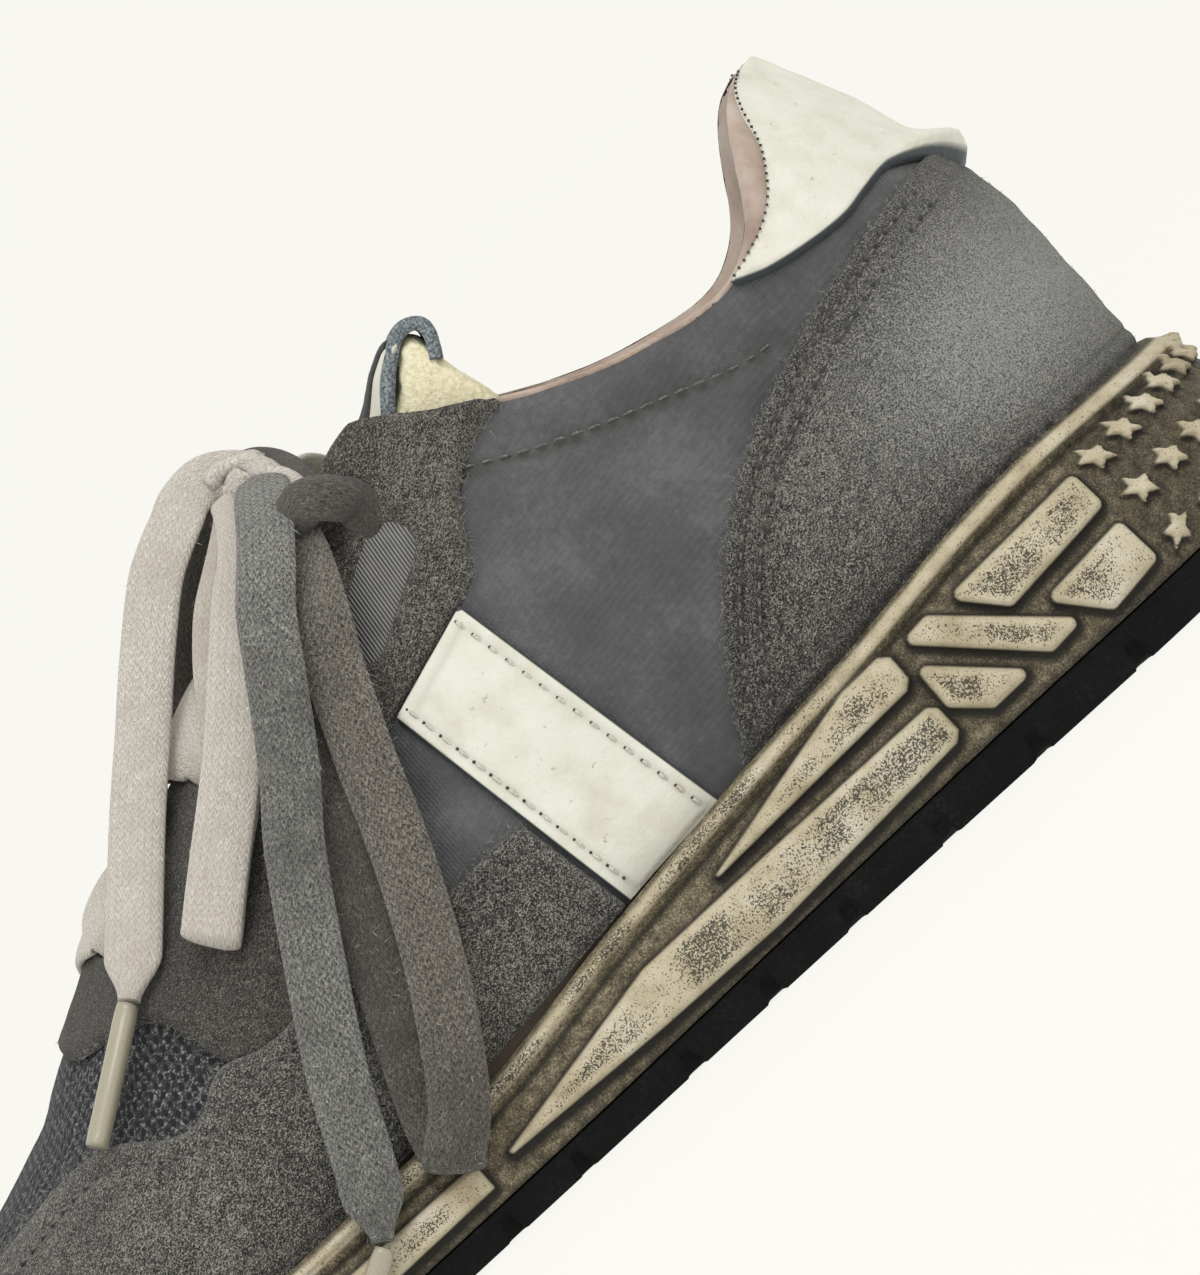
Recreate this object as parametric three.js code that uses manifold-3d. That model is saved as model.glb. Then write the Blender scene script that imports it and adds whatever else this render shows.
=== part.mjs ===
// A worn low running shoe for the left foot, standing empty on its sole, in millimetres.
// While the pieces are drawn, X runs from the back of the heel (0) to the toe, +Y is the outer side
// of the foot and Z is up from the floor. The last lines move the origin to the middle of the sole.
import * as THREE from "three";
import { mergeVertices } from "three/addons/utils/BufferGeometryUtils.js";
import Module from "manifold-3d";

const wasm = await Module();
wasm.setup();

// Driving dimensions
const SOLE_LENGTH = 296;
const HEEL_X = 11; // back of the upper
const TOE_X = 287; // tip of the upper
const HEEL_RADIUS = 30; // roundness of the heel seen from above
const TOE_START = 202; // where the toe starts to round in, seen from above
const TOE_TOP_START = 236; // where the toe starts to round down, seen from the side
const TOE_SPRING = 10.5; // lift of the toe's tip
const SPRING_START = 205; // end of the forefoot's flat spot
const WALL = 2.5; // nylon, foam and lining together
const COLLAR_PAD = 4.5; // extra thickness of the padded collar
const GAP = 0.3; // between pieces that are stitched or glued together
const SUEDE = 1.5;
const TAB_LEATHER = 1.4;
const INSOLE_THICK = 4;
const TONGUE_THICK = 6;
const LACE_WIDTH = 9;
const LACE_THICK = 1.6;
const RELIEF = 1.5; // how far the ribs of the midsole's side stand out
const GROOVE_WIDTH = 3.2; // tread grooves of the outsole
const GROOVE_DEPTH = 3;

// A smooth curve through [x, value] pairs, level outside them.
function curveThrough(pairs) {
  const last = pairs.length - 1;
  const slopes = pairs.map((_, i) => {
    const before = pairs[Math.max(i - 1, 0)];
    const after = pairs[Math.min(i + 1, last)];
    return (after[1] - before[1]) / (after[0] - before[0]);
  });
  return (x) => {
    if (x <= pairs[0][0]) return pairs[0][1];
    if (x >= pairs[last][0]) return pairs[last][1];
    const i = pairs.findIndex((pair) => pair[0] > x) - 1;
    const span = pairs[i + 1][0] - pairs[i][0];
    const t = (x - pairs[i][0]) / span;
    const s = 1 - t;
    return (
      pairs[i][1] * (1 + 2 * t) * s * s +
      slopes[i] * span * t * s * s +
      pairs[i + 1][1] * (3 - 2 * t) * t * t -
      slopes[i + 1] * span * t * t * s
    );
  };
}

const clamp = (v, low, high) => Math.min(Math.max(v, low), high);
const ease = (v, from, to) => {
  const t = clamp((v - from) / (to - from), 0, 1);
  return t * t * (3 - 2 * t);
};

// The last: its half sections follow a rounded form between the widest height and the ridge.
const middle = curveThrough([
  [11, 0], [75, 0.5], [110, 0], [150, -2.5], [185, -4], [215, -6], [250, -9.5], [287, -13],
]);
const outerSide = curveThrough([
  [11, 34], [40, 35], [75, 36], [110, 39], [150, 45.5], [180, 50], [205, 51], [230, 49], [260, 45], [287, 41],
]);
const innerSide = curveThrough([
  [11, 34], [40, 34.5], [75, 33], [110, 32], [150, 37.5], [180, 44.5], [205, 48.5], [230, 51], [260, 52.5],
  [287, 53],
]);
const footbed = curveThrough([
  [11, 24.3], [60, 22.8], [110, 18.3], [150, 14.4], [195, 12], [240, 11.3], [287, 11],
]);
const ridge = curveThrough([
  [11, 127], [30, 125], [60, 118], [85, 110], [104, 105.2], [120, 98.5], [140, 89], [160, 79.8],
  [180, 70.4], [195, 61.5], [207, 54.5], [220, 49.2], [238, 44.6], [255, 42.3], [287, 40],
]);
const sideRound = curveThrough([
  [11, 2], [85, 2.1], [104, 2.2], [140, 2], [180, 2], [215, 2.2], [287, 2.3],
]);
const topRound = curveThrough([
  [11, 2.2], [60, 2.1], [104, 2], [140, 1.6], [180, 1.65], [215, 1.9], [287, 2.2],
]);
const widestAbove = curveThrough([[11, 14], [110, 14], [200, 10], [287, 9]]); // above the footbed
const heelLean = curveThrough([[60, 0], [72, 2], [80, 4.6], [88, 7.6], [95, 11], [103, 15]]); // by height
const LEAN_END = 62; // the heel's forward lean has died out here
const TUCK = 0.04; // how much the upper draws in below its widest height

const spring = (x) => TOE_SPRING * clamp((x - SPRING_START) / (SOLE_LENGTH - SPRING_START), 0, 2) ** 2;
const floorOfCup = (x) => footbed(x) + spring(x);
const widest = (x) => floorOfCup(x) + widestAbove(x);
const leanShare = (x) => 1 - ease(x, HEEL_X, LEAN_END);

// Half width of the last grown by a distance all round; side is 1 outside and -1 inside the foot.
function halfWidth(x, side, grow) {
  const heel = clamp((x - HEEL_X + grow) / (HEEL_RADIUS + grow), 0, 1);
  const toe = clamp((x - TOE_START) / (TOE_X + grow - TOE_START), 0, 1);
  const half = side > 0 ? outerSide(x) - middle(x) : innerSide(x) + middle(x);
  return (half + grow) * Math.sqrt(heel * (2 - heel)) * Math.sqrt(1 - toe * toe);
}

function ridgeHeight(x, grow) {
  const toe = clamp((x - TOE_TOP_START) / (TOE_X + grow - TOE_TOP_START), 0, 1);
  return widest(x) + (ridge(x) + grow - widest(x)) * Math.sqrt(1 - toe ** 2.3);
}

// A point of the grown last's skin; turn runs from 0 at the widest height to 90 degrees at the ridge.
function skinPoint(x, side, turn, grow) {
  const across = halfWidth(x, side, grow) * Math.cos(turn) ** (2 / sideRound(x));
  const low = widest(x);
  const z = low + (ridgeHeight(x, grow) - low) * Math.sin(turn) ** (2 / topRound(x));
  return new THREE.Vector3(x + heelLean(z) * leanShare(x), middle(x) + side * across, z);
}

// Stations along the last, closer together where the heel and toe turn.
const HEEL_STEPS = 5;
const BODY_STEPS = 13;
const TOE_STEPS = 6;
function stations(grow) {
  const start = HEEL_X - grow;
  const end = TOE_X + grow;
  const heelEnd = start + HEEL_RADIUS;
  const quarter = Math.PI / 2;
  const list = [];
  for (let k = 0; k < HEEL_STEPS; k++) {
    list.push(start + HEEL_RADIUS * (1 - Math.cos((quarter * k) / HEEL_STEPS)));
  }
  for (let k = 0; k < BODY_STEPS; k++) {
    list.push(heelEnd + ((TOE_TOP_START - heelEnd) * k) / BODY_STEPS);
  }
  for (let k = 0; k <= TOE_STEPS; k++) {
    list.push(TOE_TOP_START + (end - TOE_TOP_START) * Math.sin((quarter * k) / TOE_STEPS));
  }
  return list;
}

// A closed solid from rings of points, one ring a station; each end ring is a line or a flat face.
function solidFromRings(rings) {
  const count = rings[0].length;
  const positions = rings.flat().flatMap((p) => [p.x, p.y, p.z]);
  const index = [];
  for (let i = 0; i + 1 < rings.length; i++) {
    for (let j = 0; j < count; j++) {
      const a = i * count + j;
      const b = i * count + ((j + 1) % count);
      index.push(a, a + count, b, b, a + count, b + count);
    }
  }
  const lastRing = (rings.length - 1) * count;
  for (let j = 1; j + 1 < count; j++) {
    index.push(0, j, j + 1, lastRing, lastRing + j + 1, lastRing + j);
  }
  const geometry = new THREE.BufferGeometry();
  geometry.setAttribute("position", new THREE.Float32BufferAttribute(positions, 3));
  geometry.setIndex(index);
  return solidOf(geometry);
}

// A closed mesh as a solid, with equal corners joined and the empty triangles left out.
function solidOf(geometry) {
  geometry.deleteAttribute("normal");
  geometry.deleteAttribute("uv");
  const merged = mergeVertices(geometry, 1e-4);
  const triangles = [];
  for (let i = 0; i < merged.index.count; i += 3) {
    const [a, b, c] = [0, 1, 2].map((k) => merged.index.getX(i + k));
    if (a !== b && b !== c && c !== a) triangles.push(a, b, c);
  }
  const mesh = new wasm.Mesh({
    numProp: 3,
    vertProperties: new Float32Array(merged.attributes.position.array),
    triVerts: new Uint32Array(triangles),
  });
  const solid = new wasm.Manifold(mesh);
  if (solid.volume() > 0) return solid;
  for (let i = 0; i < triangles.length; i += 3) {
    [triangles[i], triangles[i + 1]] = [triangles[i + 1], triangles[i]];
  }
  mesh.triVerts = new Uint32Array(triangles);
  return new wasm.Manifold(mesh);
}

const TURN_STEPS = 5;
const LINING_AXIS = 62; // the collar's padding grows towards this upright line
const collarPad = (x, z) => COLLAR_PAD * ease(z, 62, 76) * (1 - ease(x, 62, 80));

// The last as a closed solid, grown all round, from lowered millimetres below the footbed up to the ridge.
function lastForm(grow, lowered, padded = false) {
  const inset = (p) => {
    if (!padded) return p;
    const inward = new THREE.Vector3(LINING_AXIS - p.x, middle(p.x) - p.y, 0);
    const far = inward.length();
    return p.addScaledVector(inward, Math.min(collarPad(p.x, p.z), far) / Math.max(far, 1e-6));
  };
  const rings = stations(grow).map((x) => {
    const half = (side) => {
      const bottom = skinPoint(x, side, 0, grow);
      bottom.y = middle(x) + (bottom.y - middle(x)) * (1 - TUCK);
      bottom.z = floorOfCup(x) - lowered;
      const points = [bottom];
      for (let k = 0; k <= TURN_STEPS; k++) {
        points.push(inset(skinPoint(x, side, (Math.PI / 2) * (k / TURN_STEPS), grow)));
      }
      return points;
    };
    return [...half(1), ...half(-1).reverse().slice(1)];
  });
  return solidFromRings(rings);
}

// A smooth outline through the given [a, b] points, as points for a shape.
function smooth(points, perSpan = 4) {
  const spline = new THREE.SplineCurve(points.map(([a, b]) => new THREE.Vector2(a, b)));
  return spline.getPoints((points.length - 1) * perSpan);
}
const corners = (points) => points.map(([a, b]) => new THREE.Vector2(a, b));

// A prism of an outline drawn from the side (x, z) or from above (x, y).
function prism(outline, depth) {
  return new THREE.ExtrudeGeometry(new THREE.Shape(outline), { depth, bevelEnabled: false });
}
function sidePrism(outline, fromY, toY) {
  const geometry = prism(outline, toY - fromY);
  geometry.rotateX(Math.PI / 2).translate(0, toY, 0);
  return solidOf(geometry);
}
function planPrism(outline, fromZ, toZ) {
  const geometry = prism(outline, toZ - fromZ);
  geometry.translate(0, 0, fromZ);
  return solidOf(geometry);
}

const WIDE = 90; // further out than any piece
const HIGH = 160;
const BELOW = 30;

// The opening: the collar's line from the side, and the throat from above.
const COLLAR_LINE = [
  [18, 103.2], [24, 103], [29, 101.8], [33, 98.5], [36.5, 93.5], [40.5, 87], [45.5, 82.6], [51.5, 80.8],
  [60.5, 82], [70, 84.5], [78.3, 87.9], [85, 91.4], [92.6, 95.6], [98.5, 99.4], [103, 101.4], [110, 103],
];
const collarCut = sidePrism(
  [...smooth(COLLAR_LINE, 2), ...corners([[110, HIGH], [-20, HIGH], [-20, 103.2]])],
  -WIDE,
  WIDE,
);
const THROAT_END = 195;
const throatHalf = curveThrough([[96, 17], [104, 16], [120, 14.5], [150, 12], [178, 9.5], [188, 8]]);
const THROAT_STEPS = 8;
function throatOutline(grow) {
  const xs = [96, 104, 120, 135, 150, 165, 178, 188 + grow / 2];
  const turnIn = [];
  for (let k = 1; k < THROAT_STEPS / 2; k++) {
    const angle = (Math.PI / THROAT_STEPS) * k;
    turnIn.push([188 + (THROAT_END + grow - 188) * Math.sin(angle), (8 + grow) * Math.cos(angle)]);
  }
  const half = [...xs.map((x) => [x, throatHalf(x) + grow]), ...turnIn];
  const outer = half.map(([x, y]) => [x, middle(x) + y]);
  const inner = half.map(([x, y]) => [x, middle(x) - y]).reverse();
  return corners([...outer, [THROAT_END + grow, middle(THROAT_END)], ...inner]);
}
const throatCut = planPrism(throatOutline(0), 40, HIGH);
const opening = collarCut.add(throatCut);

// Eyelet holes, punched square to the skin through eyestay and wall.
const EYELET_X = [110, 124, 138, 152, 166, 179];
const EYELET_IN = 7.5; // from the throat's edge
const EYELET_RADIUS = 2.6;
function eyeletPlace(x, side, grow) {
  const out = throatHalf(x) + EYELET_IN;
  const turn = Math.acos((out / halfWidth(x, side, grow)) ** (sideRound(x) / 2));
  return skinPoint(x, side, turn, grow);
}
function skinNormal(x, side, turnPoint) {
  const step = 1;
  const ahead = eyeletPlace(x + step, side, 0).sub(eyeletPlace(x - step, side, 0));
  const up = eyeletPlace(x, side, step).sub(turnPoint);
  return up.addScaledVector(ahead, -up.dot(ahead) / ahead.lengthSq()).normalize();
}
function eyeletPin(x, side) {
  const place = eyeletPlace(x, side, 0);
  const geometry = new THREE.CylinderGeometry(EYELET_RADIUS, EYELET_RADIUS, 16, 6);
  const turn = new THREE.Quaternion();
  turn.setFromUnitVectors(new THREE.Vector3(0, 1, 0), skinNormal(x, side, place));
  geometry.applyQuaternion(turn).translate(place.x, place.y, place.z);
  return solidOf(geometry);
}
function eyeletHoles() {
  const pins = [1, -1].flatMap((side) => EYELET_X.map((x) => eyeletPin(x, side)));
  return pins.reduce((all, pin) => all.add(pin));
}
const eyelets = eyeletHoles();

// What lies behind the midsole's lip, seen from the side; overlays end just above it.
const midsoleTop = curveThrough([
  [0, 32.2], [31, 34], [47, 33.1], [60, 31.4], [71, 29.8], [95, 27.1], [126, 22.9], [150, 19], [178, 18.2],
  [215, 18], [296, 18.6],
]);
const LIP_XS = [-20, 20, 27, 33, 47, 60, 80, 100, 120, 140, 160, 180, 205, 230, 250, 270, 285, 310];
const lipLine = LIP_XS.map((x) => [x, midsoleTop(x) + spring(x) + GAP]);
const belowLip = sidePrism(corners([[-20, -BELOW], [310, -BELOW], ...lipLine.reverse()]), -WIDE, WIDE);

// Upper: one hollow wall, open at collar and throat, and underneath.
const skin = lastForm(0, 0);
const upper = skin.subtract(lastForm(-WALL, 6, true)).subtract(opening).subtract(eyelets);

// Overlays are cut between two grown lasts by an outline drawn from the side.
const overlayBand = lastForm(GAP + SUEDE, 0)
  .subtract(lastForm(GAP, 6))
  .subtract(opening)
  .subtract(belowLip);
const overlay = (outline, fromY = -WIDE, toY = WIDE) => overlayBand.intersect(sidePrism(outline, fromY, toY));

// Mudguard: suede round the toe and along both sides, under this edge.
const MUDGUARD_EDGE = [
  [105, 24], [109, 31], [114, 37], [120, 41.4], [127, 43.2], [138, 43], [147, 47.6], [153, 49.4],
  [157, 48], [166, 44.2], [172, 44.4], [176.8, 45.8], [180, 45.4], [185.3, 42.5], [190, 43.3], [197, 47.6],
  [205, 48.6], [220, 46.2], [236, 43.8], [250, 42.6], [262, 43.5],
];
const MUDGUARD = [...smooth(MUDGUARD_EDGE, 2), ...corners([[300, 60], [300, -BELOW], [105, -BELOW]])];

// Heel counter: suede round the heel, its front edge running down to the sole.
const COUNTER_EDGE = [
  [18, 74.5], [30, 72.5], [45, 68.5], [60, 62.5], [70, 56.6], [77, 50.5], [83.5, 43], [89, 35], [95, 24],
];
const COUNTER = [
  ...corners([[-20, 74.5]]),
  ...smooth(COUNTER_EDGE, 2),
  ...corners([[95, -BELOW], [-20, -BELOW]]),
];

// Eyestay: suede both sides of the throat and round its end, with a slot that shows webbing.
const EYESTAY_EDGE = [
  [83.6, 90.4], [89, 88.6], [95, 86.4], [99, 82.6], [102, 77.5], [105.5, 73.4], [116, 69.6], [129, 65.2],
  [143, 57.5], [156, 49.6], [166, 45.2],
];
const EYESTAY_END = [[175.5, 46.4], [178, 53], [181.5, 59], [189, 60.5], [201, 55]];
const EYESTAY = [
  ...smooth(EYESTAY_EDGE, 2),
  ...smooth(EYESTAY_END, 2),
  ...corners([[205, 80], [205, HIGH], [70, HIGH], [78, 95]]),
];
const SLOT_ENDS = [[110.5, 84.6], [122.5, 77.6]];
const SLOT_HALF = 3.6;
function slotOutline(shrink) {
  const [a, b] = SLOT_ENDS.map(([x, z]) => new THREE.Vector2(x, z));
  const along = Math.atan2(b.y - a.y, b.x - a.x);
  const radius = SLOT_HALF - shrink;
  const arc = (centre, from) =>
    [0, 1, 2, 3, 4].map((k) => {
      const angle = from + (Math.PI / 4) * k;
      return new THREE.Vector2(centre.x + radius * Math.cos(angle), centre.y + radius * Math.sin(angle));
    });
  return [...arc(b, along - Math.PI / 2), ...arc(a, along + Math.PI / 2)];
}

// Saddle: a plain straight leather strap from the eyestay down to the sole, on both sides.
const SADDLE = corners([[108.6, 71.9], [126.4, 65.9], [109, -BELOW], [88, -BELOW]]);
const SADDLE_ROOM = corners([[108.2, 74], [127.2, 67.2], [109.5, -BELOW], [87.5, -BELOW]]);
const saddleRoom = sidePrism(SADDLE_ROOM, -WIDE, WIDE);

const mudguard = overlay(MUDGUARD).subtract(saddleRoom);
const heelCounter = overlay(COUNTER).subtract(saddleRoom);
const slotCut = sidePrism(slotOutline(0), -WIDE, WIDE);
const eyestay = overlay(EYESTAY).subtract(eyelets).subtract(slotCut);
const saddleOuter = overlay(SADDLE, 2, WIDE);
const saddleInner = overlay(SADDLE, -WIDE, -2);
const webbingBand = lastForm(GAP + 0.7, 0).subtract(lastForm(GAP, 6));
const webbingOuter = webbingBand.intersect(sidePrism(slotOutline(GAP), 2, WIDE));
const webbingInner = webbingBand.intersect(sidePrism(slotOutline(GAP), -WIDE, -2));

// Heel tab: leather over the top of the heel; its lower flap stands off the counter.
const TAB_EDGE = [[50, 80.3], [44, 77.8], [36, 76.4], [29.8, 76], [25, 76.8], [10, 77.4]];
const TAB = [...smooth(TAB_EDGE, 2), ...corners([[-20, 77.4], [-20, HIGH], [52, HIGH]])];
const FLAP_EDGE = [[24, 77.6], [20, 77.2], [15.5, 75], [13, 72], [11.5, 69], [9, 67]];
const FLAP = [...smooth(FLAP_EDGE, 2), ...corners([[-20, 67], [-20, 80], [24, 80]])];
const tabBand = lastForm(GAP + TAB_LEATHER + 1, 0).subtract(lastForm(GAP, 6)).subtract(opening);
const flapBand = lastForm(2 * GAP + SUEDE + TAB_LEATHER, 0).subtract(lastForm(2 * GAP + SUEDE, 6));
const heelTab = tabBand
  .intersect(sidePrism(TAB, -WIDE, WIDE))
  .add(flapBand.intersect(sidePrism(FLAP, -WIDE, WIDE)));

// Tongue: padded, under the throat from the vamp to above the collar, where its end is flat and thicker.
const TONGUE_XS = [84.6, 86.4, 88.5, 91, 94, 97, 100, 104, 110, 120, 135, 150, 165, 180, 192, 200, 206];
const TONGUE_ACROSS = [-1, -0.85, -0.6, -0.3, 0, 0.3, 0.6, 0.85, 1];
const TONGUE_END = 4; // extra thickness of the end
const tongueHalf = curveThrough([
  [84, 19], [90, 19], [94, 16.4], [98, 15], [101, 16.5], [104, 21], [108, 24], [150, 23], [200, 20], [206, 12],
]);
function tonguePoint(x, off, sink) {
  const half = halfWidth(x, off < 0 ? -1 : 1, 0);
  const k = clamp(Math.abs(off) / half, 0, 1) ** (sideRound(x) / 2);
  const top = ridgeHeight(x, 0);
  const flat = 1 - ease(x, 91, 101);
  const drop = (top - widest(x)) * (1 - Math.sqrt(1 - k * k) ** (2 / topRound(x))) * (1 - flat);
  const normal = new THREE.Vector3(0.42, ((1.35 * off) / half) * (1 - flat), 1).normalize();
  return new THREE.Vector3(x, middle(x) + off, top - drop).addScaledVector(normal, -sink);
}
function tongueRing(x) {
  const upperSink = WALL + 3 * GAP;
  const thick = TONGUE_THICK - 2 * GAP + TONGUE_END * (1 - ease(x, 87, 98));
  const across = TONGUE_ACROSS.map((share) => share * tongueHalf(x));
  const above = across.map((off) => tonguePoint(x, off, upperSink));
  const below = across.map((off) => tonguePoint(x, off * 0.97, upperSink + thick)).reverse();
  return [...above, ...below];
}
const tongue = solidFromRings(TONGUE_XS.map(tongueRing));

// Insole: a padded sheet inside the upper, on the floor of the midsole's cup.
const INSOLE_XS = [0, 30, 60, 90, 120, 150, 180, 210, 230, 250, 270, 300];
const insoleOutline = corners([
  ...INSOLE_XS.map((x) => [x, floorOfCup(x) + INSOLE_THICK]),
  ...INSOLE_XS.map((x) => [x, floorOfCup(x)]).reverse(),
]);
const insole = lastForm(-WALL - GAP, 6).intersect(sidePrism(insoleOutline, -WIDE, WIDE));

// Sole forms: layers between bottom and top share the last's plan, with their own ends and overhang.
const outsoleThick = curveThrough([[0, 6.8], [60, 6.4], [110, 5.4], [150, 4.8], [296, 4.6]]);
function soleForm(layers, heightAt) {
  const QUARTER_STEPS = 6;
  const MIDDLE_STEPS = 13;
  const share = [];
  const quarter = Math.PI / 2;
  for (let k = 0; k < QUARTER_STEPS; k++) share.push([0, 1 - Math.cos((quarter * k) / QUARTER_STEPS)]);
  for (let k = 0; k < MIDDLE_STEPS; k++) share.push([1, k / MIDDLE_STEPS]);
  for (let k = 0; k <= QUARTER_STEPS; k++) share.push([2, Math.sin((quarter * k) / QUARTER_STEPS)]);
  const ring = ([part, along]) => {
    const half = (side) =>
      layers.map(({ level, heel, toe, grow }) => {
        const heelEnd = heel + HEEL_RADIUS + 8;
        const marks = [heel, heelEnd, TOE_START, toe];
        const x = marks[part] + (marks[part + 1] - marks[part]) * along;
        const heelTurn = clamp((x - heel) / (heelEnd - heel), 0, 1);
        const toeTurn = clamp((x - TOE_START) / (toe - TOE_START), 0, 1);
        const width = (side > 0 ? outerSide(x) - middle(x) : innerSide(x) + middle(x)) + grow;
        const across = width * Math.sqrt(heelTurn * (2 - heelTurn)) * Math.sqrt(1 - toeTurn * toeTurn);
        return new THREE.Vector3(x, middle(x) + side * across, heightAt(x, level));
      });
    return [...half(1), ...half(-1).reverse()];
  };
  return solidFromRings(share.map(ring));
}

const MIDSOLE_LAYERS = [
  { level: 0, heel: 2.2, toe: 293.5, grow: 4.2 },
  { level: 0.22, heel: 0.6, toe: 295, grow: 5 },
  { level: 0.45, heel: 1.4, toe: 294.6, grow: 4.8 },
  { level: 0.7, heel: 4, toe: 292.8, grow: 4.1 },
  { level: 0.84, heel: 5.8, toe: 291.8, grow: 3.3 },
  { level: 0.92, heel: 6.3, toe: 291.8, grow: 3.7 },
  { level: 1, heel: 8, toe: 290.4, grow: 2.6 },
];
const midsoleLow = (x) => outsoleThick(x) + spring(x) + GAP;
const midsoleHeight = (x, level) => midsoleLow(x) + (midsoleTop(x) + spring(x) - midsoleLow(x)) * level;
const grownLayers = (by) =>
  MIDSOLE_LAYERS.map((layer) => ({
    level: layer.level,
    heel: layer.heel - by,
    toe: layer.toe + by,
    grow: layer.grow + by,
  }));

// Ribs of the midsole's side, drawn from the side; both sides have them.
const RIBS = [
  [[31, 27.4], [56.6, 26.2], [50, 18.9], [30.4, 20.9]],
  [[30.6, 17.8], [46.2, 16.5], [39.4, 8.9], [30.2, 10.2]],
  [[60, 26.2], [65.6, 25.6], [50, 10.4], [43.4, 11]],
  [[66.2, 22.4], [66.4, 14.6], [61.6, 10], [53.4, 10.2]],
  [[67.8, 26.4], [76.4, 26.2], [91, 22.9], [107.5, 19], [107, 18.4], [68, 20]],
  [[67.6, 16.4], [105, 16.4], [124, 16.2], [155.5, 10], [155, 9.2], [127, 7.9], [105, 7.5], [67.4, 9.8]],
  [[160, 12], [200, 12.4], [236, 14.6], [236, 13.6], [200, 7], [160, 7.4]],
];
const ribForm = soleForm(grownLayers(RELIEF), midsoleHeight);
const ribs = RIBS.map((rib) => sidePrism(corners(rib), -WIDE, WIDE)).reduce((all, rib) => all.add(rib));

const midsole = soleForm(MIDSOLE_LAYERS, midsoleHeight)
  .add(ribForm.intersect(ribs))
  .subtract(lastForm(GAP, GAP));

// Outsole: a thin rubber slab that follows the toe's lift, cut into lugs by grooves across it.
const OUTSOLE_LAYERS = [
  { level: 0, heel: 5.5, toe: 291, grow: 2.6 },
  { level: 0.3, heel: 3, toe: 293, grow: 3.7 },
  { level: 1, heel: 2, toe: 294, grow: 4 },
];
const HEEL_BEVEL = 2.4;
const bevel = (x) => HEEL_BEVEL * clamp((20 - x) / 20, 0, 1) ** 2;
const outsoleForm = soleForm(
  OUTSOLE_LAYERS,
  (x, level) => spring(x) + level * outsoleThick(x) + (1 - level) * bevel(x),
);
const GROOVE_X = [24, 41, 60.5, 78.5, 96.5, 112, 127.5, 148.5, 162, 178, 194, 211, 228, 245, 262];
const groove = (x) => {
  const geometry = new THREE.BoxGeometry(GROOVE_WIDTH, 2 * WIDE, 2 * GROOVE_DEPTH);
  geometry.translate(x, 0, spring(x) + bevel(x));
  return solidOf(geometry);
};
const outsole = GROOVE_X.map(groove).reduce((form, cut) => form.subtract(cut), outsoleForm);

// Which way the skin looks at a place on it or above it: out from the section, and forward with the instep.
function faceAt(place) {
  const low = widest(place.x);
  const fromMiddle = place.y - middle(place.x);
  const half = halfWidth(place.x, fromMiddle < 0 ? -1 : 1, 0);
  const up = Math.max(place.z - low, 0) / (ridgeHeight(place.x, 0) - low) ** 2;
  return new THREE.Vector3(0.45 * up, fromMiddle / half ** 2, up).normalize();
}

// A flat cord through places with their directions; pinched gives the share of its width at each end.
// Its width is carried from place to place, so a cord that folds back keeps its edges on the same sides.
const PINCH_LENGTH = 20;
function ribbon(path, stops, section, pinched, faceOf) {
  const marks = Array.from({ length: stops }, (_, i) => i / (stops - 1));
  const places = marks.map((t) => path.getPoint(t));
  const ahead = marks.map((t) => path.getTangent(t));
  const wanted = places.map((place, i) => ahead[i].clone().cross(faceOf(place)));
  const firm = wanted.map((width) => width.length() > 0.8);
  const first = Math.max(firm.indexOf(true), 0);
  const across = [];
  across[first] = wanted[first].clone().normalize();
  const carry = (i, from) => {
    const kept = across[from].clone().addScaledVector(ahead[i], -across[from].dot(ahead[i])).normalize();
    const turned = wanted[i].normalize();
    if (turned.dot(kept) < 0) turned.negate();
    across[i] = firm[i] ? kept.lerp(turned, 0.6).normalize() : kept;
  };
  for (let i = first + 1; i < stops; i++) carry(i, i - 1);
  for (let i = first - 1; i >= 0; i--) carry(i, i + 1);
  const gone = [0];
  for (let i = 1; i < stops; i++) gone.push(gone[i - 1] + places[i].distanceTo(places[i - 1]));
  const rings = places.map((place, i) => {
    const out = across[i].clone().cross(ahead[i]).normalize();
    const start = pinched[0] + (1 - pinched[0]) * ease(gone[i], 0, PINCH_LENGTH);
    const end = pinched[1] + (1 - pinched[1]) * ease(gone[stops - 1] - gone[i], 0, PINCH_LENGTH);
    const width = LACE_WIDTH * Math.min(start, end);
    return section.map(([a, b]) =>
      place.clone().addScaledVector(across[i], (a * width) / 2).addScaledVector(out, (b * LACE_THICK) / 2),
    );
  });
  return solidFromRings(rings);
}
const FLAT = [[-1, -1], [1, -1], [1, 1], [-1, 1]];
const routeOf = (points) => new THREE.CatmullRomCurve3(points);

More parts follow.
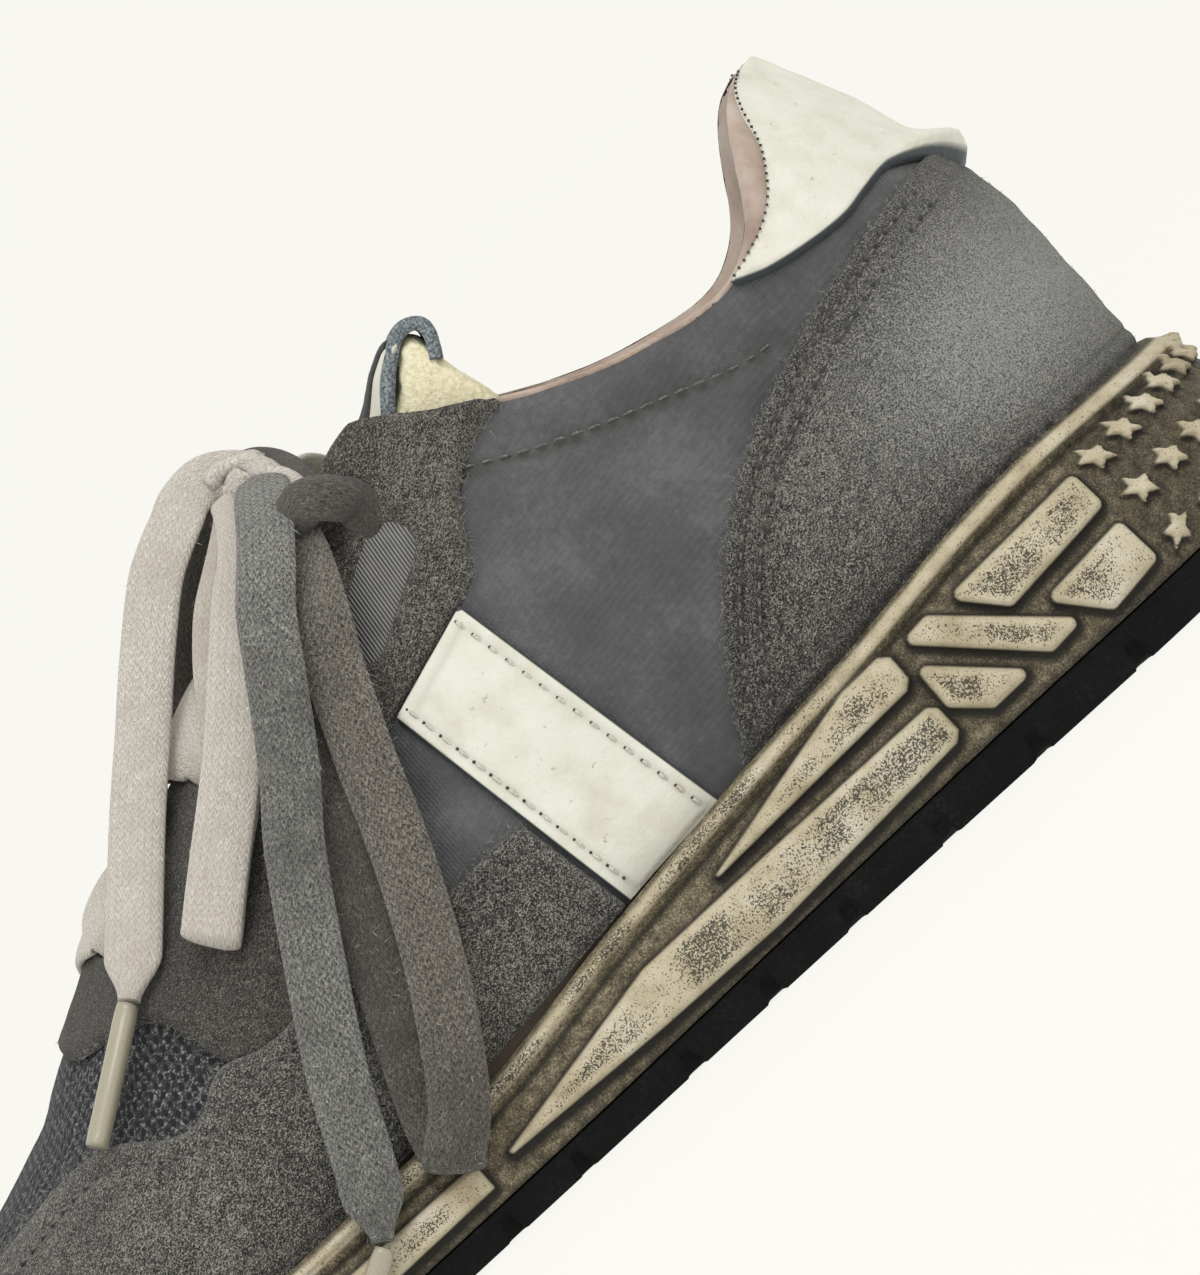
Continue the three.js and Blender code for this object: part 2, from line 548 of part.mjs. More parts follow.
// Laced part: bars that cross the throat from eyelet to eyelet, joined where they cross.
const LACE_LIFT = GAP + SUEDE + GAP + LACE_THICK / 2;
const BAR_CLEARANCE = 0.5; // a flat bar stays this much higher over the curved eyestay
const BAR_PINCHED = 0.6; // share of the width left where a bar goes into its eyelets
const BAR_SAG = 0.6; // the middle of a bar lies this much above the ridge's line
function besideThroat(x, side) {
  const turn = Math.acos(((throatHalf(x) - 1) / halfWidth(x, side, 0)) ** (sideRound(x) / 2));
  return skinPoint(x, side, turn, LACE_LIFT + BAR_CLEARANCE);
}
function bar(fromX, fromSide, toX, toSide) {
  const between = (share) => fromX + (toX - fromX) * share;
  const midX = between(0.5);
  const points = [
    eyeletPlace(fromX, fromSide, LACE_LIFT + BAR_CLEARANCE),
    besideThroat(between(0.2), fromSide),
    new THREE.Vector3(midX, middle(midX), ridgeHeight(midX, BAR_SAG)),
    besideThroat(between(0.8), toSide),
    eyeletPlace(toX, toSide, LACE_LIFT + BAR_CLEARANCE),
  ];
  return ribbon(routeOf(points), 7, FLAT, [BAR_PINCHED, BAR_PINCHED], faceAt);
}
function laceBars() {
  const front = EYELET_X[EYELET_X.length - 1];
  const bars = [bar(front, 1, front, -1)];
  for (let k = 0; k + 1 < EYELET_X.length; k++) {
    bars.push(bar(EYELET_X[k], 1, EYELET_X[k + 1], -1), bar(EYELET_X[k], -1, EYELET_X[k + 1], 1));
  }
  return bars.reduce((all, one) => all.add(one));
}

// Bow: routes chosen by hand as [x, y, z]; the cream pair lies over the throat, the grey pair down the
// outer side. Each loop turns back on itself at its lowest place.
const KNOT = [119.6, 1.8, 107.2];
const ROUTES = {
  lace_loop_cream: [
    [124.4, 7.8, 105], [125.6, 12.6, 101.9], [128, 17.8, 97.3], [132.7, 22.4, 92.2], [137.1, 25.4, 87.7],
    [145.5, 29.8, 79.2], [152, 33, 73.3], [157.5, 35.8, 68.6], [162.8, 38.3, 64], [165.9, 39.5, 61.2],
    [166.6, 39.2, 60.5], [166.9, 38.2, 60.2], [166.6, 37.2, 60.5], [165.8, 36.8, 61.1], [162.7, 35.2, 63.8],
    [157.4, 32.5, 68.4], [151.8, 29.8, 73], [145.7, 26.4, 79], [141.4, 22.2, 86.1], [136.8, 18.2, 91.7],
    [131.6, 15.4, 96.6], [127.4, 10.6, 101], [124.8, 5.4, 103.8],
  ],
  lace_end_cream: [
    [123.8, -0.8, 110.6], [126.4, 1.5, 109.6], [129.3, 3.2, 108.3], [134.4, 5.2, 105.5], [138.8, 7, 102.2],
    [146.9, 10, 94.9], [154.7, 13.6, 87.3], [162.5, 19, 79.8], [171.3, 26, 71.2], [177.4, 30.2, 65.4],
    [181.9, 33, 61.2],
  ],
  lace_loop_grey: [
    [115.2, 11.4, 103.9], [117, 20, 100.8], [118.8, 26, 96.3], [120.6, 29.4, 91.8], [124.2, 32.6, 84.4],
    [127.9, 35, 77.1], [132.9, 39.2, 65.4], [137.4, 43.9, 53.4], [143.2, 48.4, 40.4], [149.5, 51.8, 29],
    [155.8, 54.9, 19.7], [161.1, 57.1, 15], [161.8, 56.7, 14.1], [162.1, 55.7, 13.8], [161.8, 54.7, 14.1],
    [161.3, 54.3, 15], [160, 51.8, 20.6], [156.9, 49.9, 28.3], [153.9, 48.2, 35.2], [150.3, 45.6, 43.4],
    [142.7, 40.3, 57.5], [138.1, 36, 66.6], [132.5, 31.4, 76.8], [126.8, 28, 87], [122.6, 23.4, 94.4],
    [121, 18, 98.8],
  ],
  lace_end_grey: [
    [117, 7.6, 107.4], [118.6, 12.6, 106.7], [119.9, 18.6, 104.7], [121.8, 25, 101.5], [125.7, 31, 95.7],
    [129.9, 34.2, 89.5], [134.3, 37.2, 82.8], [142.1, 41, 71], [149.4, 44.2, 61.6], [158.6, 48.7, 46.8],
    [166, 51.8, 34.1], [170.5, 54.4, 24.4], [173.8, 57, 17.8], [176.6, 58.8, 12.7],
  ],
};
const AGLETS = {
  aglet_cream: [[182.4, 33.3, 60.9], [190.4, 37, 55.1], [198.8, 40.6, 49.1]],
  aglet_grey: [[177.2, 59.2, 11.8], [185.6, 61.2, 7.1], [194, 62.9, 2.2]],
};
const AGLET_RADIUS = 1.9;
const PINCHED = 0.5;
const OUTWARD = new THREE.Vector3(0, 1.6, 0);
const hangingFace = (place) => faceAt(place).add(OUTWARD).normalize();
const placesOf = (points) => points.map((p) => new THREE.Vector3(...p));
function strand(name) {
  const points = ROUTES[name];
  const isLoop = name.startsWith("lace_loop");
  const pinched = [name === "lace_end_grey" ? 0.8 : PINCHED, isLoop ? PINCHED : 0.45];
  return ribbon(routeOf(placesOf(points)), points.length, FLAT, pinched, hangingFace);
}
function aglet(name) {
  const ring = Array.from({ length: 8 }, (_, k) => {
    const angle = (Math.PI / 4) * k;
    return new THREE.Vector2(AGLET_RADIUS * Math.cos(angle), AGLET_RADIUS * Math.sin(angle));
  });
  const options = { steps: 4, extrudePath: routeOf(placesOf(AGLETS[name])) };
  return solidOf(new THREE.ExtrudeGeometry(new THREE.Shape(ring), options));
}
function knot() {
  const geometry = new THREE.SphereGeometry(1, 10, 7);
  geometry.scale(3.8, 4.4, 3).rotateY(0.42).translate(...KNOT);
  return solidOf(geometry);
}

// Materials, with the photo's colours
const finish = (color, roughness) => new THREE.MeshStandardMaterial({ color, roughness, metalness: 0 });
const NYLON = finish(0x5d5e60, 0.7);
const SUEDE_GREY = finish(0x5a5852, 0.95);
const OFF_WHITE = finish(0xe6e4d6, 0.5);
const EVA_CREAM = finish(0xcfc5a3, 0.8);
const BLACK_RUBBER = finish(0x1d1d1f, 0.7);
const LINING = finish(0xd9bfae, 0.6);
const WEBBING = finish(0x6b6b6b, 0.8);
const LACE_CREAM = finish(0xe0d8cb, 0.9);
const LACE_GREY = finish(0x6a6a67, 0.9);
const AGLET_PLASTIC = finish(0xb9b5a4, 0.35);

const shoe = new THREE.Group();
function addPiece(name, solid, material) {
  const { numProp, vertProperties, triVerts } = solid.getMesh();
  const positions = [];
  for (let i = 0; i < vertProperties.length; i += numProp) {
    positions.push(vertProperties[i], vertProperties[i + 1], vertProperties[i + 2]);
  }
  const geometry = new THREE.BufferGeometry();
  geometry.setAttribute("position", new THREE.Float32BufferAttribute(positions, 3));
  geometry.setIndex(Array.from(triVerts));
  geometry.computeVertexNormals();
  const piece = new THREE.Mesh(geometry, material);
  piece.name = name;
  shoe.add(piece);
}

addPiece("outsole", outsole, BLACK_RUBBER);
addPiece("midsole", midsole, EVA_CREAM);
addPiece("insole", insole, LINING);
addPiece("upper", upper, NYLON);
addPiece("tongue", tongue, OFF_WHITE);
addPiece("mudguard", mudguard, SUEDE_GREY);
addPiece("heel_counter", heelCounter, SUEDE_GREY);
addPiece("eyestay", eyestay, SUEDE_GREY);
addPiece("saddle_outer", saddleOuter, OFF_WHITE);
addPiece("saddle_inner", saddleInner, OFF_WHITE);
addPiece("heel_tab", heelTab, OFF_WHITE);
addPiece("webbing_outer", webbingOuter, WEBBING);
addPiece("webbing_inner", webbingInner, WEBBING);
addPiece("lace_bars", laceBars(), LACE_CREAM);
addPiece("lace_knot", knot(), LACE_CREAM);
addPiece("lace_loop_cream", strand("lace_loop_cream"), LACE_CREAM);
addPiece("lace_end_cream", strand("lace_end_cream"), LACE_CREAM);
addPiece("lace_loop_grey", strand("lace_loop_grey"), LACE_GREY);
addPiece("lace_end_grey", strand("lace_end_grey"), LACE_GREY);
addPiece("aglet_cream", aglet("aglet_cream"), AGLET_PLASTIC);
addPiece("aglet_grey", aglet("aglet_grey"), AGLET_PLASTIC);

// The origin goes to the floor under the middle of the sole.
const soleBox = new THREE.Box3().setFromObject(shoe.getObjectByName("midsole"));
const soleMiddle = soleBox.getCenter(new THREE.Vector3());
shoe.position.set(-soleMiddle.x, -soleMiddle.y, 0);

export default shoe;
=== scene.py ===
# %% [markdown]
# # A worn-out running shoe
# A plain CAD shoe gives the sizes. This lesson dresses it: suede that has lost its nap, a dirty foam sole,
# two-tone laces and a heel tab that peels. Lengths are in millimetres with the heel at x = 0, and only the
# last step turns them into metres, so that every number can be held against a real shoe and a ruler.

# %% Load the frame
import math

import bpy
import numpy as np
from mathutils import Matrix, Vector


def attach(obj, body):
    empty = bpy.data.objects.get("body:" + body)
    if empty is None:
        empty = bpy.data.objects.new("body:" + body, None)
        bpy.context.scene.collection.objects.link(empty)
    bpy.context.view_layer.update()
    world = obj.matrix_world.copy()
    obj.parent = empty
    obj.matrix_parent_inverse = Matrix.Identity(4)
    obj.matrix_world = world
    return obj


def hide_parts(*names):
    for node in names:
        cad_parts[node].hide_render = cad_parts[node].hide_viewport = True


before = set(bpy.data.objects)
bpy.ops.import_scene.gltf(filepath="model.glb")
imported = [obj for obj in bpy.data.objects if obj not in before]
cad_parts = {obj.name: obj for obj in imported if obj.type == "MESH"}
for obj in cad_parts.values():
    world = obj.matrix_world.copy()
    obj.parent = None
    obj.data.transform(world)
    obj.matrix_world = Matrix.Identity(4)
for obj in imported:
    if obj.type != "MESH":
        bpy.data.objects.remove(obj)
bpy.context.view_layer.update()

MM = 0.001
SHIFT = np.array([-147.8, -1.1536, 0.0])  # the frame's origin lies under the middle of the sole


def metres(points):
    return (np.asarray(points, float) + SHIFT) * MM


print("frame:", len(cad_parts), "nodes")

# %% [markdown]
# ## Camera, floor and light
# The photograph looks at the outer side of the shoe, with the toe down to the left. The shoe here stands on
# its sole, so the camera is rolled instead: its right and up are turned 42 degrees round the line of sight.
# A long lens far away keeps the side flat, as a product photograph does.

# %% Camera
ELEVATION = math.radians(2)
LOOK_AT = (96.7, 40.0, 55.1)
DISTANCE = 1.6
FRAME_HEIGHT = 0.1821
back = np.array([0, math.cos(ELEVATION), math.sin(ELEVATION)])
level_right = np.array([-1.0, 0, 0])
level_up = np.cross(back, level_right)
right = 0.743 * level_right - 0.669 * level_up
up = 0.669 * level_right + 0.743 * level_up
camera_data = bpy.data.cameras.new("photo_camera")
camera_data.sensor_width = 36
camera_data.lens = 36 * DISTANCE / FRAME_HEIGHT
camera_data.clip_end = 200
camera = bpy.data.objects.new("photo_camera", camera_data)
turn = np.eye(4)
turn[:3, 0], turn[:3, 1], turn[:3, 2] = right, up, back
turn[:3, 3] = metres(LOOK_AT) + DISTANCE * back
camera.matrix_world = Matrix(turn.tolist())
scene = bpy.context.scene
scene.collection.objects.link(camera)
scene.camera = camera
scene.view_settings.view_transform = "Standard"
print("camera:", round(camera_data.lens), "mm lens")


# %% [markdown]
# One small function turns a colour as read on a screen into the linear values that Blender wants, and
# another adds a node to a material: its settings, what goes into its sockets, and which output to hand on.

# %% Colour and node helpers
SURFACE_LIGHT = 0.66  # the stage is bright enough to show paper white, so surfaces are held back to match


def colour(code, light=SURFACE_LIGHT):
    screen = np.array([int(code[i : i + 2], 16) for i in (1, 3, 5)]) / 255
    low, high = screen / 12.92, ((screen + 0.055) / 1.055) ** 2.4
    return (*np.where(screen <= 0.04045, low, high) * light, 1.0)


def add(owner, kind, settings=None, inputs=None, out=0):
    made = owner.node_tree.nodes.new("ShaderNode" + kind)
    for name, value in (settings or {}).items():
        if name == "ramp":
            stops = made.color_ramp.elements
            while len(stops) < len(value):
                stops.new(0.5)
            for stop, (place, code) in zip(stops, value):
                stop.position, stop.color = place, colour(code)
        else:
            setattr(made, name, value)
    for key, value in (inputs or {}).items():
        if isinstance(value, bpy.types.NodeSocket):
            owner.node_tree.links.new(value, made.inputs[key])
        else:
            made.inputs[key].default_value = value
    return made.outputs[out] if out is not None else made


def new_material(name):
    made = bpy.data.materials.new(name)
    made.use_nodes = True
    made.node_tree.nodes.clear()
    return made


def close_material(owner, inputs):
    surface = add(owner, "BsdfPrincipled", None, inputs)
    add(owner, "OutputMaterial", None, {0: surface}, None)
    return owner


def sums(owner, operation, a, b):
    return add(owner, "Math", {"operation": operation}, {0: a, 1: b})


# %% Floor, world and lamps
# Seamless studio paper: matt and pale. It glows a little, so that no shadow turns it grey.
paper = new_material("pale_paper")
glow = {"Emission Color": colour("#f8f7f1", 1), "Emission Strength": 0.92}
close_material(
    paper, {"Base Color": (0.08, 0.08, 0.076, 1), "Roughness": 1.0, "Specular IOR Level": 0.0, **glow}
)
floor_mesh = bpy.data.meshes.new("floor")
floor_mesh.from_pydata([(-20, -20, 0), (20, -20, 0), (20, 20, 0), (-20, 20, 0)], [], [(0, 1, 2, 3)])
floor_mesh.materials.append(paper)
floor = bpy.data.objects.new("floor", floor_mesh)
scene.collection.objects.link(floor)

world = bpy.data.worlds.new("studio")
scene.world = world
world.use_nodes = True
sky = world.node_tree.nodes["Background"]
sky.inputs[0].default_value = colour("#f8f7f1", 1)
sky.inputs[1].default_value = 1.0

LAMPS_AIM = (-0.05, 0.03, 0.06)
LAMPS = [  # name, from where (metres), size, power
    ("key_lamp", (-0.55, 0.9, 1.25), 0.9, 9),
    ("fill_lamp", (0.75, 1.3, 0.55), 0.9, 4),
]
for name, place, size, power in LAMPS:
    lamp_data = bpy.data.lights.new(name, "AREA")
    lamp_data.shape = "DISK"
    lamp_data.size = size
    lamp_data.energy = power
    lamp = bpy.data.objects.new(name, lamp_data)
    lamp.location = place
    aim = Vector(LAMPS_AIM) - lamp.location
    lamp.rotation_euler = aim.to_track_quat("-Z", "Y").to_euler()
    scene.collection.objects.link(lamp)
print("stage: floor, world and", len(LAMPS), "lamps")

# %% [markdown]
# ## The last, as a formula
# A shoe is built on a last, and so is this one: curves along the foot give its middle line, its two sides,
# its footbed and its instep, and a rounded section joins them. The CAD shoe uses the same curves, so
# whatever is laid on this skin lies on the CAD shoe too. Growing the last by a millimetre is how a panel
# gets its thickness.


# %% Curves of the last
def curve(*pairs):
    xs, vs = np.array(pairs, float).T
    slope = np.empty_like(vs)
    slope[1:-1] = (vs[2:] - vs[:-2]) / (xs[2:] - xs[:-2])
    slope[0] = (vs[1] - vs[0]) / (xs[1] - xs[0])
    slope[-1] = (vs[-1] - vs[-2]) / (xs[-1] - xs[-2])

    def value(x):
        x = np.clip(x, xs[0], xs[-1])
        i = np.clip(np.searchsorted(xs, x, side="right") - 1, 0, len(xs) - 2)
        h = xs[i + 1] - xs[i]
        t = (x - xs[i]) / h
        start = (2 * t**3 - 3 * t**2 + 1) * vs[i] + (t**3 - 2 * t**2 + t) * h * slope[i]
        return start + (3 * t**2 - 2 * t**3) * vs[i + 1] + (t**3 - t**2) * h * slope[i + 1]

    return value


def ease(x, low, high):
    t = np.clip((x - low) / (high - low), 0, 1)
    return t * t * (3 - 2 * t)


HEEL_X, TOE_X, HEEL_RADIUS, TOE_START, TOE_TOP = 11, 287, 30, 202, 236
middle = curve((11, 0), (75, 0.5), (110, 0), (150, -2.5), (185, -4), (215, -6), (250, -9.5), (287, -13))
outer_side = curve(
    (11, 34), (40, 35), (75, 36), (110, 39), (150, 45.5), (180, 50), (205, 51), (230, 49), (260, 45),
    (287, 41)
)
inner_side = curve(
    (11, 34), (40, 34.5), (75, 33), (110, 32), (150, 37.5), (180, 44.5), (205, 48.5), (230, 51), (260, 52.5),
    (287, 53)
)
footbed = curve((11, 24.3), (60, 22.8), (110, 18.3), (150, 14.4), (195, 12), (240, 11.3), (287, 11))
ridge = curve(
    (11, 127), (30, 125), (60, 118), (85, 110), (104, 105.2), (120, 98.5), (140, 89), (160, 79.8),
    (180, 70.4), (195, 61.5), (207, 54.5), (220, 49.2), (238, 44.6), (255, 42.3), (287, 40),
)
side_round = curve((11, 2), (85, 2.1), (104, 2.2), (140, 2), (180, 2), (215, 2.2), (287, 2.3))
top_round = curve((11, 2.2), (60, 2.1), (104, 2), (140, 1.6), (180, 1.65), (215, 1.9), (287, 2.2))
widest_above = curve((11, 14), (110, 14), (200, 10), (287, 9))
heel_lean = curve((60, 0), (72, 2), (80, 4.6), (88, 7.6), (95, 11), (103, 15))
TUCK = 0.04


def spring(x):
    return 10.5 * np.clip((x - 205) / 91, 0, 2) ** 2


def cup_floor(x):
    return footbed(x) + spring(x)


def widest(x):
    return cup_floor(x) + widest_above(x)


def half_width(x, side, grow):
    broad = np.where(side > 0, outer_side(x) - middle(x), inner_side(x) + middle(x)) + grow
    h = np.clip((x - HEEL_X + grow) / (HEEL_RADIUS + grow), 0, 1)
    t = np.clip((x - TOE_START) / (TOE_X + grow - TOE_START), 0, 1)
    return broad * np.sqrt(h * (2 - h)) * np.sqrt(1 - t * t)


def ridge_height(x, grow):
    low = widest(x)
    t = np.clip((x - TOE_TOP) / (TOE_X + grow - TOE_TOP), 0, 1)
    return low + (ridge(x) + grow - low) * np.sqrt(1 - t**2.3)


def station(s, grow):
    """0 to 1 goes round the heel, 1 to 2 along the waist, 2 to 3 round the toe."""
    heel = HEEL_X - grow + (HEEL_RADIUS + grow) * (1 - np.cos(np.clip(s, 0, 1) * math.pi / 2))
    waist = HEEL_X + HEEL_RADIUS + (TOE_TOP - HEEL_X - HEEL_RADIUS) * np.clip(s - 1, 0, 1)
    toe = TOE_TOP + (TOE_X + grow - TOE_TOP) * np.sin(np.clip(s - 2, 0, 1) * math.pi / 2)
    return np.where(s < 1, heel, np.where(s < 2, waist, toe))


def skin(s, w, side, grow):
    """A place on the grown last: w is 1 on the ridge, 0 where it is widest and -1 on the footbed."""
    x = station(s, grow)
    low = widest(x)
    angle = np.clip(w, 0, 1) * math.pi / 2
    tuck = np.clip(-w, 0, 1)
    across = np.cos(angle).clip(0, 1) ** (2 / side_round(x)) * (1 - TUCK * tuck)
    rise = np.sin(angle) ** (2 / top_round(x))
    z = low + (ridge_height(x, grow) - low) * rise - (low - cup_floor(x)) * tuck
    lean = heel_lean(z) * (1 - ease(x, 11, 62))
    return np.stack([x + lean, middle(x) + side * half_width(x, side, grow) * across, z], -1)


def on_side(x_seen, z, side, grow):
    """The skin behind a point of the side view, and which way it looks."""

    def depth(x_seen, z):
        x = x_seen
        for _ in range(4):
            x = x_seen - heel_lean(z) * (1 - ease(x, 11, 62))
        low = widest(x)
        k = np.clip((z - low) / (ridge_height(x, grow) - low), 0, 1) ** (top_round(x) / 2)
        across = np.sqrt(1 - k * k) ** (2 / side_round(x))
        tuck = np.clip((low - z) / (low - cup_floor(x)), 0, 1)
        return middle(x) + side * half_width(x, side, grow) * across * (1 - TUCK * tuck)

    x_seen, z = np.broadcast_arrays(np.asarray(x_seen, float), np.asarray(z, float))
    y = depth(x_seen, z)
    normal = np.stack(
        [
            -side * (depth(x_seen + 0.4, z) - depth(x_seen - 0.4, z)) / 0.8,
            np.full_like(y, side),
            -side * (depth(x_seen, z + 0.4) - depth(x_seen, z - 0.4)) / 0.8,
        ],
        -1,
    )
    return np.stack([x_seen, y, z], -1), unit(normal)


def unit(v):
    return v / np.maximum(np.linalg.norm(v, axis=-1, keepdims=True), 1e-9)


print("last: instep", round(float(ridge(104))), "mm high at the top of the throat")

# %% [markdown]
# ## Outlines
# A pattern cutter draws each panel flat. Here each panel is an outline in the side view, and a signed
# distance tells for any place of the skin how far it lies inside the outline. That one number cuts the
# panel, rounds its edge, and later places stitches, fluff and dirt at the right distance from the edge.


# %% Outlines and distances
def spline(points, per=8):
    p = np.array(points, float)
    p = np.vstack([p[:1], p, p[-1:]])
    t = (np.arange(per) / per)[:, None]
    rows = []
    for a, b, c, d in zip(p[:-3], p[1:-2], p[2:-1], p[3:]):
        rows.append(
            0.5 * (2 * b + (c - a) * t + (2 * a - 5 * b + 4 * c - d) * t**2 + (3 * b - a - 3 * c + d) * t**3)
        )
    return np.vstack([*rows, p[-1:]])


def signed(outline, place):
    """Distance to a closed outline, below zero inside it."""
    best = np.full(len(place), 1e9)
    inside = np.zeros(len(place), bool)
    for a, b in zip(outline, np.roll(outline, -1, 0)):
        edge = b - a
        t = np.clip(((place - a) @ edge) / max(edge @ edge, 1e-12), 0, 1)
        best = np.minimum(best, ((place - a - t[:, None] * edge) ** 2).sum(1))
        crosses = (a[1] > place[:, 1]) != (b[1] > place[:, 1])
        if a[1] != b[1]:
            inside ^= crosses & (place[:, 0] < edge[0] * (place[:, 1] - a[1]) / edge[1] + a[0])
    return np.where(inside, -1, 1) * np.sqrt(best)


COLLAR_LINE = [
    (18, 103.2), (24, 103), (29, 101.8), (33, 98.5), (36.5, 93.5), (40.5, 87), (45.5, 82.6), (51.5, 80.8),
    (60.5, 82), (70, 84.5), (78.3, 87.9), (85, 91.4), (92.6, 95.6), (98.5, 99.4), (103, 101.4), (110, 103),
]
throat_half = curve((96, 17), (104, 16), (120, 14.5), (150, 12), (178, 9.5), (188, 8))
collar_outline = np.vstack([spline(COLLAR_LINE), [(110, 160), (-20, 160), (-20, 103.2)]])
EYELET_X = [110, 124, 138, 152, 166, 179]
EYELET_IN, EYELET_RADIUS = 7.5, 2.6


def opening(p):
    """Above zero inside the collar and the throat."""
    collar = -signed(collar_outline, p[:, [0, 2]])
    x, off = p[:, 0], np.abs(p[:, 1] - middle(p[:, 0]))
    end = 7.5 * (1 - np.hypot((x - 188) / 7, off / 8))
    throat = np.where(x < 188, throat_half(x) - off, end)
    return np.maximum(collar, np.where(x > 94, throat, -50))


def eyelet_place(x, side, grow):
    x = np.asarray(x, float)
    out = throat_half(x) + EYELET_IN
    turn = np.arccos((out / half_width(x, side, grow)) ** (side_round(x) / 2))
    return skin(1 + (x - 41) / 195, turn / (math.pi / 2), side, grow)


def eyelets(p):
    """Above zero inside an eyelet."""
    best = np.full(len(p), -50.0)
    for side in (1, -1):
        for x in EYELET_X:
            best = np.maximum(best, EYELET_RADIUS - np.linalg.norm(p - eyelet_place(x, side, 1.0), axis=1))
    return best


# %% [markdown]
# ## From numbers to a mesh
# A panel starts as a fine net of triangles over the whole side of the last. It is cut where the distance is
# zero, cut again a little further in so that the edge can turn down sharply, and then lifted off the skin.


# %% Mesh helpers
def grid_faces(rows, columns, closed=False):
    a = np.arange(rows * columns).reshape(rows, columns)
    b = np.roll(a, -1, 1) if closed else a[:, 1:]
    a = a if closed else a[:, :-1]
    return np.stack([a[:-1].ravel(), b[:-1].ravel(), b[1:].ravel(), a[1:].ravel()], 1)


def triangles(quads):
    return np.vstack([quads[:, [0, 1, 2]], quads[:, [0, 2, 3]]])


def piece(name, points, faces, material, slot, stands_for=(), uv=None, extra=None):
    """A mesh object that rides on the shoe and may stand for CAD nodes."""
    mesh = bpy.data.meshes.new(name)
    mesh.from_pydata(metres(points), [], np.asarray(faces))
    for key, values in (extra or {}).items():
        mesh.attributes.new(key, "FLOAT", "POINT").data.foreach_set("value", np.asarray(values, np.float32))
    if uv is not None:
        layer = mesh.uv_layers.new(name="UVMap")
        layer.data.foreach_set("uv", uv[np.asarray(faces).ravel()].astype(np.float32).ravel())
    mesh.materials.append(material)
    mesh.shade_smooth()
    made = bpy.data.objects.new(name, mesh)
    scene.collection.objects.link(made)
    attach(made, "root")
    if stands_for:
        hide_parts(*stands_for)
    print(name + ":", len(points), "points")
    return made


def split(places, faces, values, keep_inside=False):
    """Cuts triangles where values cross zero."""
    values = np.where(np.abs(values) < 1e-5, -1e-5, values)
    above = values > 0
    count = above[faces].sum(1)
    mixed = faces[(count == 1) | (count == 2)]
    odd = above[mixed] == (above[mixed].sum(1) == 1)[:, None]
    k = odd.argmax(1)
    n = np.arange(len(mixed))
    i, j, l = mixed[n, k], mixed[n, (k + 1) % 3], mixed[n, (k + 2) % 3]
    edges = np.sort(np.vstack([np.stack([i, j], 1), np.stack([i, l], 1)]), 1)
    edges, back_to = np.unique(edges, axis=0, return_inverse=True)
    back_to = back_to.ravel()
    a, b = edges.T
    t = (values[a] / (values[a] - values[b]))[:, None]
    fresh = len(places) + back_to
    ij, il = fresh[: len(mixed)], fresh[len(mixed) :]
    places = np.vstack([places, places[a] + (places[b] - places[a]) * t])
    tip = np.stack([i, ij, il], 1)
    rest_1, rest_2 = np.stack([ij, j, l], 1), np.stack([ij, l, il], 1)
    if not keep_inside:
        return places, np.vstack([faces[(count == 0) | (count == 3)], tip, rest_1, rest_2])
    tip_inside = ~above[i]
    kept = [faces[count == 0], tip[tip_inside], rest_1[~tip_inside], rest_2[~tip_inside]]
    return places, np.vstack(kept)


def tidy_mesh(points, faces, *arrays):
    """Joins points that coincide and drops what no face uses."""
    _, first, where = np.unique(
        np.round(points / 0.002).astype(np.int64), axis=0, return_index=True, return_inverse=True
    )
    faces = where.ravel()[faces]
    good = (faces[:, 0] != faces[:, 1]) & (faces[:, 1] != faces[:, 2]) & (faces[:, 0] != faces[:, 2])
    faces = faces[good]
    used, faces = np.unique(faces, return_inverse=True)
    keep = first[used]
    return (points[keep], faces.reshape(-1, 3), *(a[keep] for a in arrays))


def net(side, step, s_range=(0, 3), w_range=(-0.5, 1)):
    """A net over one side of the last, as (s, w, side) rows."""
    marks = [
        np.linspace(k, k + 1, max(2, int(length / step)), endpoint=False)
        for k, length in enumerate((47, 195, 80))
    ]
    s = np.append(np.concatenate(marks), 3.0)
    s = s[(s >= s_range[0]) & (s <= s_range[1])]
    w = np.linspace(*w_range, int((w_range[1] - w_range[0]) * 105 / step))
    places = np.stack([*np.meshgrid(s, w, indexing="ij"), np.full((len(s), len(w)), side)], -1).reshape(-1, 3)
    faces = triangles(grid_faces(len(s), len(w)))
    return places, faces if side < 0 else faces[:, ::-1]


def ripple(p, size, seed):
    """Soft even bumps, about one millimetre high and size across."""
    rng = np.random.default_rng(seed)
    total = np.zeros(len(p))
    for _ in range(9):
        way = unit(rng.normal(size=3)) * 2 * math.pi / (size * rng.uniform(0.7, 1.6))
        total += np.sin(p @ way + rng.uniform(0, 6.3))
    return total / 4


def cut_net(field, step, sides=(1, -1), cuts=(), **ranges):
    """Nets of both sides, cut to where field is below zero."""
    all_places, all_faces, count = [], [], 0
    for side in sides:
        places, faces = net(side, step, **ranges)
        values = field(skin(*places.T, 1.0), places[:, 2])
        faces = faces[values[faces].min(1) < 0]
        places, faces = split(places, faces, values, True)
        for cut in cuts:
            values = field(skin(*places.T, 1.0), places[:, 2])
            places, faces = split(places, faces, values - cut)
        all_places.append(places)
        all_faces.append(faces + count)
        count += len(places)
    return np.vstack(all_places), np.vstack(all_faces)


